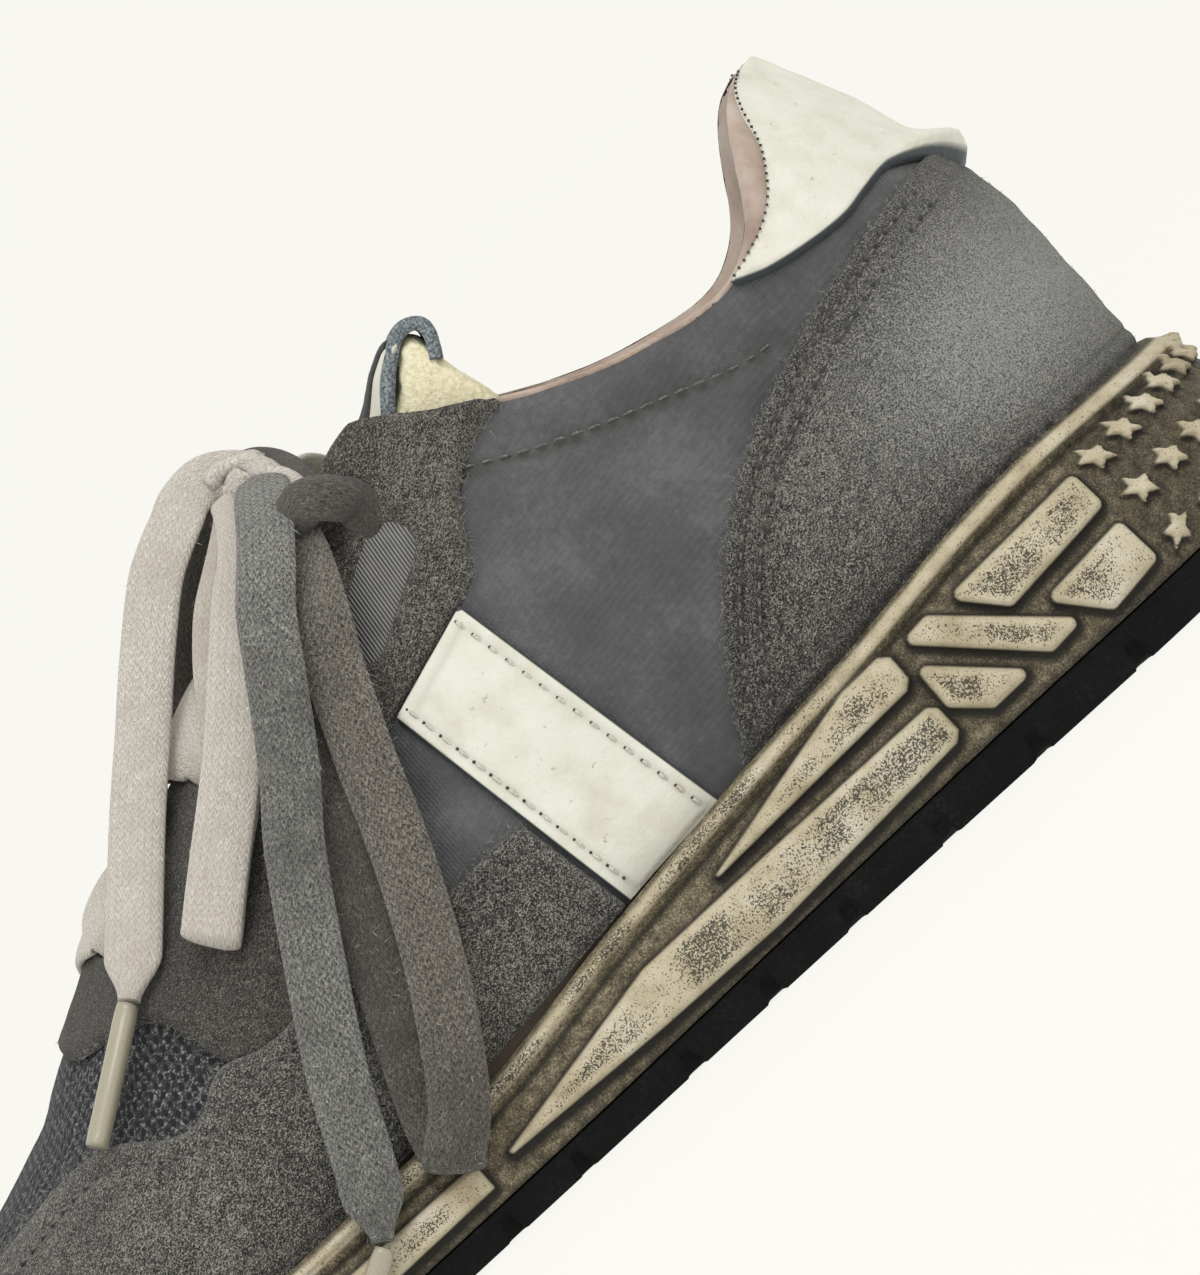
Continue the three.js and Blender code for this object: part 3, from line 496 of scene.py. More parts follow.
def panel(
    name, material, slot, field, thick, base=0.25, step=1.2, round_edge=1.0, relief=None, stands_for=(),
    tint=None, **ranges
):
    """A panel on the skin: its edge is as thick as the leather; depth is how far inside a place lies."""
    cuts = (-0.18 * round_edge, -0.5 * round_edge, -1.0 * round_edge, -2.2, -3.0, -3.8)
    places, faces = cut_net(field, step, cuts=cuts, **ranges)
    flat = skin(*places.T, 1.0)
    depth = np.maximum(-field(flat, places[:, 2]), 0)
    bend = np.clip(depth / round_edge, 0, 1)
    lift = base + thick * np.sqrt(1 - (1 - bend) ** 2)
    if relief is not None:
        lift = lift + relief(flat, depth, places[:, 2]) * np.clip(depth, 0, 1)
    points = skin(*places.T, lift)
    uv = np.stack([flat[:, 0], np.hypot(flat[:, 1], flat[:, 2]) * 0.4 + flat[:, 2] * 0.6], 1)
    extra = {"depth": np.minimum(depth, 30)}
    for key, values in (tint(flat, depth) if tint else {}).items():
        extra[key] = values
    points, faces, uv, *rest = tidy_mesh(points, faces, uv, *extra.values())
    return piece(name, points, faces, material, slot, stands_for, uv, dict(zip(extra, rest)))


# %% [markdown]
# ## Laces
# The bow comes before the shoe, because its free ends decide the room that the picture needs. A flat shoe
# lace is a squashed braided tube. A ribbon mesh follows the route and lies flat to the skin; where the route
# turns back on itself the ribbon stands on its edge, as a real lace does, because it can't bend sideways.

# %% Lace materials
# Soft braided cotton: no shine, ribbed by the braid, blurred by fuzz. A noise of scale 1000 has grains of
# about 1 mm, so the fuzz is 0.4 mm wide: much coarser than a real fibre, so that it shows.
def lace_material(name, deep, body, light, soil, crisp, nap, gain=1.0):
    """Braid: columns of V-shaped stitches, drawn from the lace's own width and length in millimetres."""
    made = new_material(name)
    uv = add(made, "UVMap", {"uv_map": "UVMap"})
    across = add(made, "SeparateXYZ", None, {0: uv}, 0)
    along = add(made, "SeparateXYZ", None, {0: uv}, 1)
    column = sums(made, "MULTIPLY", across, 1 / 1.1)
    zig = sums(made, "PINGPONG", column, 0.5)
    slanted = sums(made, "ADD", sums(made, "MULTIPLY", along, 1 / 1.3), sums(made, "MULTIPLY", zig, 1.9))
    stitch = add(made, "Math", {"operation": "SINE"}, {0: sums(made, "MULTIPLY", slanted, 2 * math.pi)})
    seam = sums(made, "SUBTRACT", 1, sums(made, "POWER", sums(made, "MULTIPLY", zig, 2), 4))
    stitch01 = sums(made, "MULTIPLY", sums(made, "ADD", sums(made, "MULTIPLY", stitch, 0.5), 0.5), seam)
    place = add(made, "TexCoord", None, None, 3)
    fuzz = add(
        made, "TexNoise", None,
        {"Vector": place, "Scale": 2400, "Detail": 3, "Roughness": 0.75, "Distortion": 1.2},
    )
    fuzz = add(made, "MapRange", None, {0: fuzz, 1: 0.38, 2: 0.62, 3: 0.0, 4: 1.0})
    height = sums(made, "ADD", sums(made, "MULTIPLY", stitch01, crisp), sums(made, "MULTIPLY", fuzz, nap))
    ramp = add(made, "ValToRGB", {"ramp": [(0.06, deep), (0.4, body), (0.85, light)]}, {0: height})
    stain = add(made, "TexNoise", None, {"Vector": place, "Scale": 110, "Detail": 6, "Roughness": 0.7})
    grime = add(made, "Attribute", {"attribute_name": "grime"}, None, 2)
    # Painted shade: on the back legs of the two loops, which lie behind the front legs, the lace is pulled
    # towards its soil colour. Elsewhere this is stain and dirt.
    stain_and_shade = add(made, "MapRange", None, {0: sums(made, "ADD", stain, grime), 1: 0.5, 2: 1.1, 3: 0.0, 4: 0.9})
    mixed = add(made, "Mix", {"data_type": "RGBA"}, {0: stain_and_shade, 6: ramp, 7: colour(soil)}, 2)
    mixed = add(
        made, "Mix", {"data_type": "RGBA", "blend_type": "MULTIPLY"},
        {0: 1.0, 6: mixed, 7: (gain, gain, gain, 1)}, 2,
    )
    bump = add(made, "Bump", None, {"Strength": 0.8, "Distance": 0.0005, "Height": height})
    inputs = {
        "Base Color": mixed, "Roughness": 0.9, "Normal": bump, "Sheen Weight": 0.25,
        "Specular IOR Level": 0.2,
    }
    return close_material(made, inputs)


cream_lace = lace_material("cream_lace_cotton", "#cdbfb0", "#f7efe4", "#fffcf5", "#d0c2b2", 0.5, 0.5, 1.18)
grey_lace = lace_material("grey_lace_cotton", "#3b3a37", "#83827d", "#cfcec8", "#4b4943", 0.35, 0.7)
taupe_lace = lace_material("taupe_lace_cotton", "#322e2a", "#726b62", "#b9b0a3", "#403c36", 0.35, 0.7)

# A tip of acetate film over the cotton: the one smooth, slightly glossy thing on the lace.
aglet_plastic = new_material("aglet_plastic")
spot = add(aglet_plastic, "TexNoise", None, {"Scale": 400, "Detail": 3})
film = add(aglet_plastic, "ValToRGB", {"ramp": [(0.35, "#8f8771"), (0.6, "#cfc8b2")]}, {0: spot})
close_material(aglet_plastic, {"Base Color": film, "Roughness": 0.3, "Coat Weight": 0.4})


# %% Lace ribbons
LACE_WIDTH, LACE_THICK = 9.0, 2.0


def face_at(p):
    low = widest(p[:, 0])
    off = p[:, 1] - middle(p[:, 0])
    half = half_width(p[:, 0], np.sign(off) + (off == 0), 0)
    rise = np.maximum(p[:, 2] - low, 0) / (ridge_height(p[:, 0], 0) - low) ** 2
    return unit(np.stack([0.45 * rise, off / half**2, rise], 1))


def travelled(line):
    """The length of a line up to each of its points."""
    return np.append(0, np.cumsum(np.linalg.norm(np.diff(line, axis=0), axis=1)))


def even(points, step):
    line = spline(points, 24)
    gone = travelled(line)
    at = np.linspace(0, gone[-1], max(4, int(gone[-1] / step)))
    return np.stack([np.interp(at, gone, line[:, k]) for k in range(3)], 1), at


def hanging(p):
    """A loose lace falls down the outer side, so it shows its flat there."""
    return unit(face_at(p) + np.array([0, 1.6, 0]))


def ribbon(route, pinch=(0.4, 0.4), twist=((0, 0), (1, 0)), width=LACE_WIDTH, thick=LACE_THICK, step=0.6,
           face_of=hanging, pinch_length=(9, 9)):
    """Points, faces, uv and centre line of a flat braided cord; twist is (share of the length, degrees)."""
    centre, at = even(route, step)
    ahead = unit(np.gradient(centre, axis=0))
    wanted = np.cross(ahead, face_of(centre))
    firm = np.linalg.norm(wanted, axis=1) > 0.75
    wanted = unit(wanted)
    first = int(firm.argmax())
    across = wanted.copy()
    for order in (range(first + 1, len(at)), range(first - 1, -1, -1)):
        kept = across[first]
        for i in order:
            kept = unit(kept - ahead[i] * (kept @ ahead[i]))
            if firm[i]:
                kept = unit(kept + 0.25 * (wanted[i] * (1 if wanted[i] @ kept >= 0 else -1) - kept))
            across[i] = kept
    out = np.cross(across, ahead)
    angle = np.radians(np.interp(at / at[-1], *np.array(twist, float).T))[:, None]
    across, out = across * np.cos(angle) + out * np.sin(angle), out * np.cos(angle) - across * np.sin(angle)
    start = pinch[0] + (1 - pinch[0]) * ease(at, 0, pinch_length[0])
    end = pinch[1] + (1 - pinch[1]) * ease(at[-1] - at, 0, pinch_length[1])
    share = np.minimum(start, end)
    half = width / 2 * share
    tall = thick / 2 * (1 + 0.5 * (1 - share))
    phi = np.linspace(0, 2 * math.pi, 28, endpoint=False)
    a = np.sign(np.cos(phi)) * np.abs(np.cos(phi)) ** 0.7
    b = np.sign(np.sin(phi)) * np.abs(np.sin(phi)) ** 0.8
    cup = 0.25 * (1 - a**2)
    points = (
        centre[:, None]
        + across[:, None] * (a[None, :] * half[:, None])[..., None]
        + out[:, None] * ((b * 1.0 + cup * 0.6)[None, :] * tall[:, None])[..., None]
    )
    uv = np.stack(np.broadcast_arrays((a[None, :] + 1) * width / 2, at[:, None]), -1)
    rows, columns = len(centre), len(phi)
    faces = triangles(grid_faces(rows, columns, True))
    tips = len(phi) * rows + np.arange(2)
    ring = np.arange(columns)
    first = np.stack([np.full(columns, tips[0]), np.roll(ring, -1), ring], 1)
    last = np.stack([np.full(columns, tips[1]), ring, np.roll(ring, -1)], 1)
    last[:, 1:] += columns * (rows - 1)
    points = np.vstack([points.reshape(-1, 3), centre[:1], centre[-1:]])
    uv = np.vstack([uv.reshape(-1, 2), uv[0, :1], uv[-1, :1]])
    return points, np.vstack([faces, first, last]), uv, centre


def gather(parts):
    """Joins (points, faces, uv) parts into one."""
    points, faces, uv, count = [], [], [], 0
    for part in parts:
        points.append(part[0])
        faces.append(part[1] + count)
        uv.append(part[2])
        count += len(part[0])
    return np.vstack(points), np.vstack(faces), np.vstack(uv)


# %% [markdown]
# Lint makes a lace look used. Each hair is a thin bent blade of a few triangles; thousands of them are made
# at once as arrays and joined into one mesh, because thousands of objects would be slow.


# %% Hairs
# Spun thread: dull, with its twist seen as light and dark places 0.4 mm apart.
def thread_material(name, low, high):
    made = new_material(name)
    place = add(made, "TexCoord", None, None, 3)
    twist = add(made, "TexNoise", None, {"Vector": place, "Scale": 2500, "Detail": 2})
    base = add(made, "ValToRGB", {"ramp": [(0.35, low), (0.65, high)]}, {0: twist})
    return close_material(made, {"Base Color": base, "Roughness": 0.7, "Sheen Weight": 0.2})


def scatter(owner, per_mm2, seed):
    """Random places on an object's skin, and which way the skin looks there."""
    mesh = owner.data
    points = np.empty(len(mesh.vertices) * 3, np.float32)
    mesh.vertices.foreach_get("co", points)
    points = points.reshape(-1, 3) / MM - SHIFT
    faces = np.empty(len(mesh.loops), np.int32)
    mesh.loops.foreach_get("vertex_index", faces)
    a, b, c = (points[corner] for corner in faces.reshape(-1, 3).T)
    normal = np.cross(b - a, c - a)
    area = np.linalg.norm(normal, axis=1) / 2
    rng = np.random.default_rng(seed)
    chosen = rng.choice(len(area), int(area.sum() * per_mm2), p=area / area.sum())
    share = np.sort(rng.random((len(chosen), 2)), 1)
    place = (
        a[chosen] * share[:, :1] + b[chosen] * (share[:, 1:] - share[:, :1]) + c[chosen] * (1 - share[:, 1:])
    )
    return place, unit(normal[chosen])


def copies(faces, count, size):
    """The same faces for each of so many groups of size points."""
    return (faces[None] + (np.arange(count) * size)[:, None, None]).reshape(-1, 3)


def blades(root, normal, reach, seed, spread=1.0, broad=0.05):
    """Thin bent hairs that start on a skin."""
    rng = np.random.default_rng(seed)
    n = len(root)
    way = unit(normal * 0.7 + rng.normal(size=(n, 3)) * spread)
    way = unit(way + normal * np.maximum(0.1 - (way * normal).sum(1, keepdims=True), 0))
    curl = rng.normal(size=(n, 3)) * 0.55
    length = (rng.uniform(0.4, 1.0, n) * reach)[:, None]
    across = unit(np.cross(way, rng.normal(size=(n, 3)))) * broad
    rows = []
    for t, share in ((0, 1), (0.4, 0.9), (0.75, 0.6), (1, 0.15)):
        spine = root + way * length * t + curl * length * t * t
        rows += [spine - across * share, spine + across * share]
    points = np.stack(rows, 1)
    faces = np.array([(0, 1, 3), (0, 3, 2), (2, 3, 5), (2, 5, 4), (4, 5, 7), (4, 7, 6)])
    return points.reshape(-1, 3), copies(faces, n, 8), np.zeros((n * 8, 2))


# %% The bow
ROUTES = {
    "lace_loop_cream": [
        (124.4, 7.8, 105), (125.6, 12.6, 101.9), (128, 17.8, 97.3), (132.7, 22.4, 92.2), (137.1, 25.4, 87.7),
        (145.5, 29.8, 79.2), (152, 33, 73.3), (157.5, 35.8, 68.6), (162.8, 38.3, 64), (165.9, 39.5, 61.2),
        (166.6, 39.2, 60.5), (166.9, 38.2, 60.2), (166.6, 37.2, 60.5), (165.8, 36.8, 61.1),
        (162.7, 35.2, 63.8), (157.4, 32.5, 68.4), (151.8, 29.8, 73), (145.7, 26.4, 79), (141.4, 22.2, 86.1),
        (136.8, 18.2, 91.7), (131.6, 15.4, 96.6), (127.4, 10.6, 101), (124.8, 5.4, 103.8),
    ],
    "lace_end_cream": [
        (117.6, 2.6, 104.4), (120.4, 0.8, 107.4), (124.2, 0.2, 109.5), (128.4, 1.4, 109.2),
        (131.3, 3, 107.8), (135.6, 5.2, 105.7), (139.9, 7, 102.9), (147.8, 10, 95.7), (155.5, 13.6, 88),
        (163.2, 19, 80.4), (171.6, 26, 71.5), (177.4, 30.2, 65.4), (181.9, 33, 61.2),
    ],
    "lace_loop_grey": [
        (117.4, 9, 102), (118.9, 14.5, 98.8), (120, 21, 95.4), (121.2, 27, 91.2), (124.2, 32.6, 84.4),
        (127.9, 35, 77.1), (132.9, 39.2, 65.4), (137.4, 43.9, 53.4), (143.2, 48.4, 40.4), (149.5, 51.8, 29),
        (155.8, 54.9, 19.7), (161.1, 57.1, 15), (161.8, 56.7, 14.1), (162.1, 55.7, 13.8),
        (161.8, 54.7, 14.1), (161.3, 54.3, 15), (160, 51.8, 20.6), (156.9, 49.9, 28.3), (153.9, 48.2, 35.2),
        (150.3, 45.6, 43.4), (142.7, 40.3, 57.5), (138.1, 36, 66.6), (132.5, 31.4, 76.8), (126.8, 28, 87),
        (122.6, 23.4, 94.4), (121, 18, 98.8),
    ],
    "lace_end_grey": [
        (117, 4, 101.4), (117.7, 8.6, 103.6), (118.9, 14, 102.8), (120.2, 20, 101), (122.3, 26, 98.2),
        (125.7, 31, 94.2), (129.9, 34.2, 89.5), (134.3, 37.2, 82.8), (142.1, 41, 71), (149.4, 44.2, 61.6),
        (158.6, 48.7, 46.8), (166, 51.8, 34.1), (170.5, 54.4, 24.4), (173.8, 57, 17.8), (176.6, 58.8, 12.7),
    ],
}
AGLETS = {
    "aglet_cream": [(182.4, 33.3, 60.9), (190.4, 37, 55.1), (198.8, 40.6, 49.1)],
    "aglet_grey": [(177.2, 59.2, 11.8), (185.6, 61.2, 7.1), (194, 62.9, 2.2)],
}
PINCH = {  # share of the width left at the two ends
    "lace_loop_cream": (0.5, 0.5), "lace_end_cream": (0.75, 0.36),
    "lace_loop_grey": (0.5, 0.5), "lace_end_grey": (0.9, 0.36),
}
GRIME_AND_SHADE = {  # share of the length, then dirt there, and painted shade on the loops' back legs
    "lace_loop_cream": [(0, 0.1), (0.3, 0.05), (0.5, 0.15), (0.75, 0.3), (1, 0.35)],
    "lace_end_cream": [(0, 0.1), (0.5, 0.05), (1, 0.2)],
    "lace_loop_grey": [(0, 0), (0.15, 0), (0.35, 0.05), (0.5, 0.35), (0.6, 0.4), (1, 0.5)],
    "lace_end_grey": [(0, -0.3), (0.2, -0.15), (0.3, 0.15), (0.45, 0.3), (0.6, 0.2), (0.75, 0.1), (1, 0.3)],
}
for name, route in AGLETS.items():
    points, faces, uv, _ = ribbon(route, (0.9, 0.95), width=3.3, thick=3.0, step=0.8, pinch_length=(2, 2))
    piece(name, points, faces, aglet_plastic, "aglet", [name], uv)

pale_lint = thread_material("pale_lint", "#cfc4b6", "#fff8ee")
grey_lint = thread_material("grey_lint", "#7d7b76", "#e4e1da")
for name, route in ROUTES.items():
    is_loop = "loop" in name
    material = cream_lace if "cream" in name else (taupe_lace if is_loop else grey_lace)
    points, faces, uv, centre = ribbon(route, PINCH[name], pinch_length=(20, 20 if is_loop else 7))
    # Along each lace: dirt, and painted shade on the back legs of the loops.
    grime = np.interp(uv[:, 1] / uv[:, 1].max(), *np.array(GRIME_AND_SHADE[name]).T)
    slot = "cream_lace" if "cream" in name else "grey_lace"
    lace = piece(name, points, faces, material, slot, [name], uv, {"grime": grime})
    hairs = blades(*scatter(lace, 0.3 if "cream" in name else 1.8, 31), 1.1, 41, 1.4, 0.045)
    lint = piece(name + "_lint", *hairs[:2], pale_lint if "cream" in name else grey_lint, slot)
    path = metres(centre)
    length = float(np.linalg.norm(np.diff(path, axis=0), axis=1).sum())
    print(name, round(length * 1000), "mm long")

# %% [markdown]
# The knot is a band drawn tight over the strands that pass through it, so it is made of three short turns of
# the same ribbon rather than a ball.

# %% Knot and bars
KNOT = np.array([119.6, 1.8, 105.6])


def knot_turn(radius_a, radius_b, a, b, width, turns=1.0, start=0.0, shift=0.0):
    phi = np.linspace(start, start + 2 * math.pi * turns, 18)
    a, b = unit(np.array(a, float)), unit(np.array(b, float))
    drift = np.cross(a, b) * (np.linspace(-1, 1, 18) * shift)[:, None]
    route = KNOT + np.cos(phi)[:, None] * a * radius_a + np.sin(phi)[:, None] * b * radius_b + drift
    centre, at = even(route, 0.5)
    ahead = unit(np.gradient(centre, axis=0))
    out = unit(centre - KNOT)
    across = unit(np.cross(ahead, out))
    columns = np.linspace(0, 2 * math.pi, 20, endpoint=False)
    ca = np.sign(np.cos(columns)) * np.abs(np.cos(columns)) ** 0.6
    sb = np.sign(np.sin(columns)) * np.abs(np.sin(columns)) ** 0.7
    points = (
        centre[:, None] + across[:, None] * (ca * width / 2)[None, :, None]
        + out[:, None] * (sb * 0.9)[None, :, None]
    )
    uv = np.stack(np.broadcast_arrays((ca[None, :] + 1) * width / 2, at[:, None]), -1)
    return points.reshape(-1, 3), triangles(grid_faces(len(centre), len(columns), True)), uv.reshape(-1, 2)


turns = [
    knot_turn(3.6, 2.1, (1, 0, -0.45), (0.45, 0, 1), 5.5, 1.1, 0.4, 0.5),
    knot_turn(3.0, 1.8, (0.7, 0.7, -0.3), (0.4, -0.1, 1), 4.6, 1.0, 2.0, 0.6),
    knot_turn(3.8, 1.7, (0.2, 1, -0.1), (0.45, 0, 1), 4.4, 1.0, 1.0, 0.5),
]
piece("lace_knot_turns", *gather(turns)[:2], cream_lace, "cream_lace", ["lace_knot"], gather(turns)[2])


def beside_throat(x, side, lift):
    out = np.maximum(throat_half(x) - 1, 1)
    turn = np.arccos((out / half_width(x, side, 0)) ** (side_round(x) / 2))
    return skin(1 + (x - 41) / 195, turn / (math.pi / 2), side, lift)


def bar(from_x, from_side, to_x, to_side, forward=0.0):
    """One crossing of the throat, from eyelet to eyelet; forward lets it sag to the toe."""
    ends = [(from_x, from_side), (to_x, to_side)]
    a_in, b_in = (eyelet_place(x, side, -3.0) for x, side in ends)
    a_up, b_up = (eyelet_place(x - 0.4, side, 2.6) for x, side in ends)
    near_x, mid_x, far_x = (from_x + (to_x - from_x) * share for share in (0.2, 0.5, 0.8))
    lift = 3.4 - 0.35 * forward
    a = beside_throat(near_x + 0.7 * forward, from_side, lift)
    b = beside_throat(far_x + 0.7 * forward, to_side, lift)
    mid_x = mid_x + forward
    top = np.array([mid_x, middle(mid_x), ridge_height(mid_x, 0.9 - 0.35 * forward)])
    return ribbon([a_in, a_up, a, top, b, b_up, b_in], (0.5, 0.5), pinch_length=(10, 10), face_of=face_at)


hole = eyelet_place(110, 1, 1.0)
slack = [  # the top grey crossing is loose and bulges out of its eyelet
    eyelet_place(110, 1, -2.5), hole + (0.1, 1.4, 0.5), hole + (1.2, 3.2, 2.4), hole + (3.0, 4.0, 4.3),
    hole + (5.2, 3.2, 5.4), hole + (7.2, 0.5, 5.0), (119.6, 12, 97), (121.5, 5, 97.4), (123, -6, 97.4),
    (124, -14, 94.6), eyelet_place(124, -1, -2.0),
]
cream_half = [bar(179, 1, 179, -1, 3.5)]
grey_half = [ribbon(slack, (0.7, 0.6), width=6.8, thick=4.8, pinch_length=(4, 10))]
for k in range(len(EYELET_X) - 1):
    near, far = EYELET_X[k], EYELET_X[k + 1]
    one, other = (near, 1, far, -1), (near, -1, far, 1)
    cream_side, grey_side = (other, one) if k % 2 == 0 else (one, other)
    cream_half.append(bar(*cream_side))
    if k > 0:
        grey_half.append(bar(*grey_side))
twisted = [(124, 1, 108.6), (121, 2, 108.8), (117.8, 5, 106.6), (115.6, 10, 103), (114.4, 16, 98.6)]
cream_half.append(ribbon(twisted, (0.9, 0.9), ((0, 0), (1, 420)), width=3.6, thick=2.4))
behind = [(120.6, -3, 107), (118, -1, 107), (115.6, 3, 104.8), (114, 8, 102), (113, 13, 98.4)]
grey_half.append(ribbon(behind, (0.8, 0.8), ((0, 0), (1, 60)), width=5.5))
rising = [
    (120, -3, 104.6), (127, -3, 103), (133, -2, 99.8), (140, -3, 94), (147, -3, 88.4), (153, -5, 82),
    (156, -7, 77),
]
grey_half.append(ribbon(rising, (0.6, 0.6), ((0, 0), (1, 40))))
points, faces, uv = gather(cream_half)
piece("lace_bars_cream", points, faces, cream_lace, "cream_lace", ["lace_bars"], uv)
points, faces, uv = gather(grey_half)
piece("lace_bars_grey", points, faces, taupe_lace, "grey_lace", (), uv, {"grime": np.full(len(points), 0.45)})

# %% [markdown]
# ## Suede, nylon, leather and mesh
# Each material is named for the real stuff. Worn suede has lost its nap, so it is dark and greasy in places
# and pale with loose fibres in others; the colour follows three sizes of noise, and the finest one also
# roughens the surface. On the heel counter a pale pool of light is also painted into the colour, with
# painted shade towards the counter's edges.

# %% Suede
# Split leather, brushed: matt, with tufts 2 mm wide in clouds of 20 mm. Grain and fibres are 0.3 mm wide,
# coarser than real ones, so that they show.
def suede_material(name, stops, haze, fleck):
    made = new_material(name)
    place = add(made, "TexCoord", None, None, 3)
    cloud = add(made, "TexNoise", None, {"Vector": place, "Scale": 45, "Detail": 4, "Roughness": 0.6})
    clump = add(made, "TexNoise", None, {"Vector": place, "Scale": 480, "Detail": 4, "Roughness": 0.65})
    grain = add(made, "TexNoise", None, {"Vector": place, "Scale": 4200, "Detail": 2, "Roughness": 0.6})
    lay = {"Rotation": (0, math.radians(35), 0), "Scale": (2.2, 1, 1)}
    lying = add(made, "Mapping", {"vector_type": "TEXTURE"}, {0: place, **lay})
    fibre = add(
        made, "TexNoise", None,
        {"Vector": lying, "Scale": 3300, "Detail": 2, "Roughness": 0.7, "Distortion": 0.8},
    )
    tone = sums(made, "ADD", sums(made, "MULTIPLY", cloud, 0.5), sums(made, "MULTIPLY", clump, 0.8))
    tone = sums(made, "ADD", tone, sums(made, "MULTIPLY", grain, 3.0))
    tone = sums(made, "ADD", tone, sums(made, "MULTIPLY", fibre, 2.0))
    tone = sums(made, "SUBTRACT", tone, 2.65)
    base = add(made, "ValToRGB", {"ramp": stops}, {0: tone})
    # pale: pale fibres at the panels' edges, and on the heel counter a painted pool of light.
    pale = add(made, "Attribute", {"attribute_name": "pale"}, None, 2)
    misty = sums(
        made, "MULTIPLY", pale, add(made, "MapRange", None, {0: grain, 1: 0.36, 2: 0.64, 3: 0.15, 4: 1.1})
    )
    mixed = add(made, "Mix", {"data_type": "RGBA"}, {0: misty, 6: base, 7: colour(haze)}, 2)
    speck = add(made, "MapRange", None, {0: grain, 1: 0.62, 2: 0.72, 3: 0.0, 4: 0.7})
    mixed = add(made, "Mix", {"data_type": "RGBA"}, {0: speck, 6: mixed, 7: colour(fleck)}, 2)
    # Dirt near the sole, and on the heel counter also painted shade towards its edges.
    soil = add(made, "Attribute", {"attribute_name": "soil"}, None, 2)
    grime = sums(
        made, "MULTIPLY", soil, add(made, "MapRange", None, {0: clump, 1: 0.35, 2: 0.65, 3: 0.3, 4: 1.0})
    )
    mixed = add(made, "Mix", {"data_type": "RGBA"}, {0: grime, 6: mixed, 7: colour("#2e2b27")}, 2)
    rough = sums(made, "ADD", sums(made, "MULTIPLY", grain, 0.7), sums(made, "MULTIPLY", fibre, 0.7))
    rough = sums(made, "ADD", rough, sums(made, "MULTIPLY", clump, 0.5))
    bump = add(made, "Bump", None, {"Strength": 0.9, "Distance": 0.0007, "Height": rough})
    inputs = {
        "Base Color": mixed, "Roughness": 0.95, "Normal": bump, "Sheen Weight": 0.12,
        "Sheen Roughness": 0.6,
    }
    return close_material(made, {**inputs, "Specular IOR Level": 0.15})


grey_suede = suede_material(
    "grey_suede", [(0.05, "#191817"), (0.5, "#565450"), (0.95, "#b0aca3")], "#c3c3c1", "#cfccc4"
)
brown_suede = suede_material(
    "brown_grey_suede", [(0.05, "#171513"), (0.5, "#504d47"), (0.95, "#a59f95")], "#98948d", "#c6c0b6"
)


# %% [markdown]
# Nylon is a fine plain weave: two crossed waves, half a millimetre apart, which is coarser than its real
# threads but as fine as can show. They take the shine off. Old nylon is blotched where its backing shows.

# %% Nylon and mesh
# Woven nylon: even and satin, with faint blotches 13 mm wide.
nylon = new_material("grey_nylon")
place = add(nylon, "TexCoord", None, None, 3)
uv = add(nylon, "UVMap", {"uv_map": "UVMap"})
cloud = add(nylon, "TexNoise", None, {"Vector": place, "Scale": 75, "Detail": 5, "Roughness": 0.6})
fine = add(nylon, "TexNoise", None, {"Vector": place, "Scale": 900, "Detail": 5, "Roughness": 0.7})
mottle = sums(nylon, "ADD", sums(nylon, "MULTIPLY", cloud, 0.6), sums(nylon, "MULTIPLY", fine, 0.4))
base = add(nylon, "ValToRGB", {"ramp": [(0.37, "#3f4042"), (0.5, "#4d4e50"), (0.63, "#626365")]}, {0: mottle})
weave = add(nylon, "TexWave", {"bands_direction": "X"}, {"Vector": uv, "Scale": 0.55, "Distortion": 0.4})
weft = add(nylon, "TexWave", {"bands_direction": "Y"}, {"Vector": uv, "Scale": 0.55, "Distortion": 0.4})
grain = add(nylon, "TexNoise", None, {"Vector": place, "Scale": 1900, "Detail": 3})
cloth = sums(nylon, "ADD", sums(nylon, "MULTIPLY", weave, weft), grain)
soil = add(nylon, "Attribute", {"attribute_name": "soil"}, None, 2)
mixed = add(nylon, "Mix", {"data_type": "RGBA"}, {0: soil, 6: base, 7: colour("#35332f")}, 2)
bump = add(nylon, "Bump", None, {"Strength": 0.35, "Distance": 0.0002, "Height": cloth})
close_material(nylon, {"Base Color": mixed, "Roughness": 0.62, "Normal": bump, "Sheen Weight": 0.3})

# Knitted polyester mesh: dark holes between crossing yarns 2.8 mm apart, the yarns grey with dust.
mesh_cloth = new_material("navy_mesh")
uv = add(mesh_cloth, "UVMap", {"uv_map": "UVMap"})
u = add(mesh_cloth, "SeparateXYZ", None, {0: uv}, 0)
v = add(mesh_cloth, "SeparateXYZ", None, {0: uv}, 1)
place = add(mesh_cloth, "TexCoord", None, None, 3)
dust = add(mesh_cloth, "TexNoise", None, {"Vector": place, "Scale": 1600, "Detail": 4, "Roughness": 0.75})
waves = []
for operation in ("ADD", "SUBTRACT"):
    line = sums(
        mesh_cloth, "MULTIPLY", sums(mesh_cloth, operation, u, sums(mesh_cloth, "MULTIPLY", v, 0.8)),
        2 * math.pi / 2.8,
    )
    waves.append(add(mesh_cloth, "Math", {"operation": "SINE"}, {0: line}))
strand = add(
    mesh_cloth, "MapRange", None, {0: sums(mesh_cloth, "MULTIPLY", *waves), 1: 0.15, 2: 0.55, 3: 1.0, 4: 0.0}
)
yarn = add(
    mesh_cloth, "ValToRGB", {"ramp": [(0.4, "#1c1e24"), (0.53, "#3d3f46"), (0.67, "#b9b8b5")]}, {0: dust}
)
mixed = add(mesh_cloth, "Mix", {"data_type": "RGBA"}, {0: strand, 6: colour("#15161a"), 7: yarn}, 2)
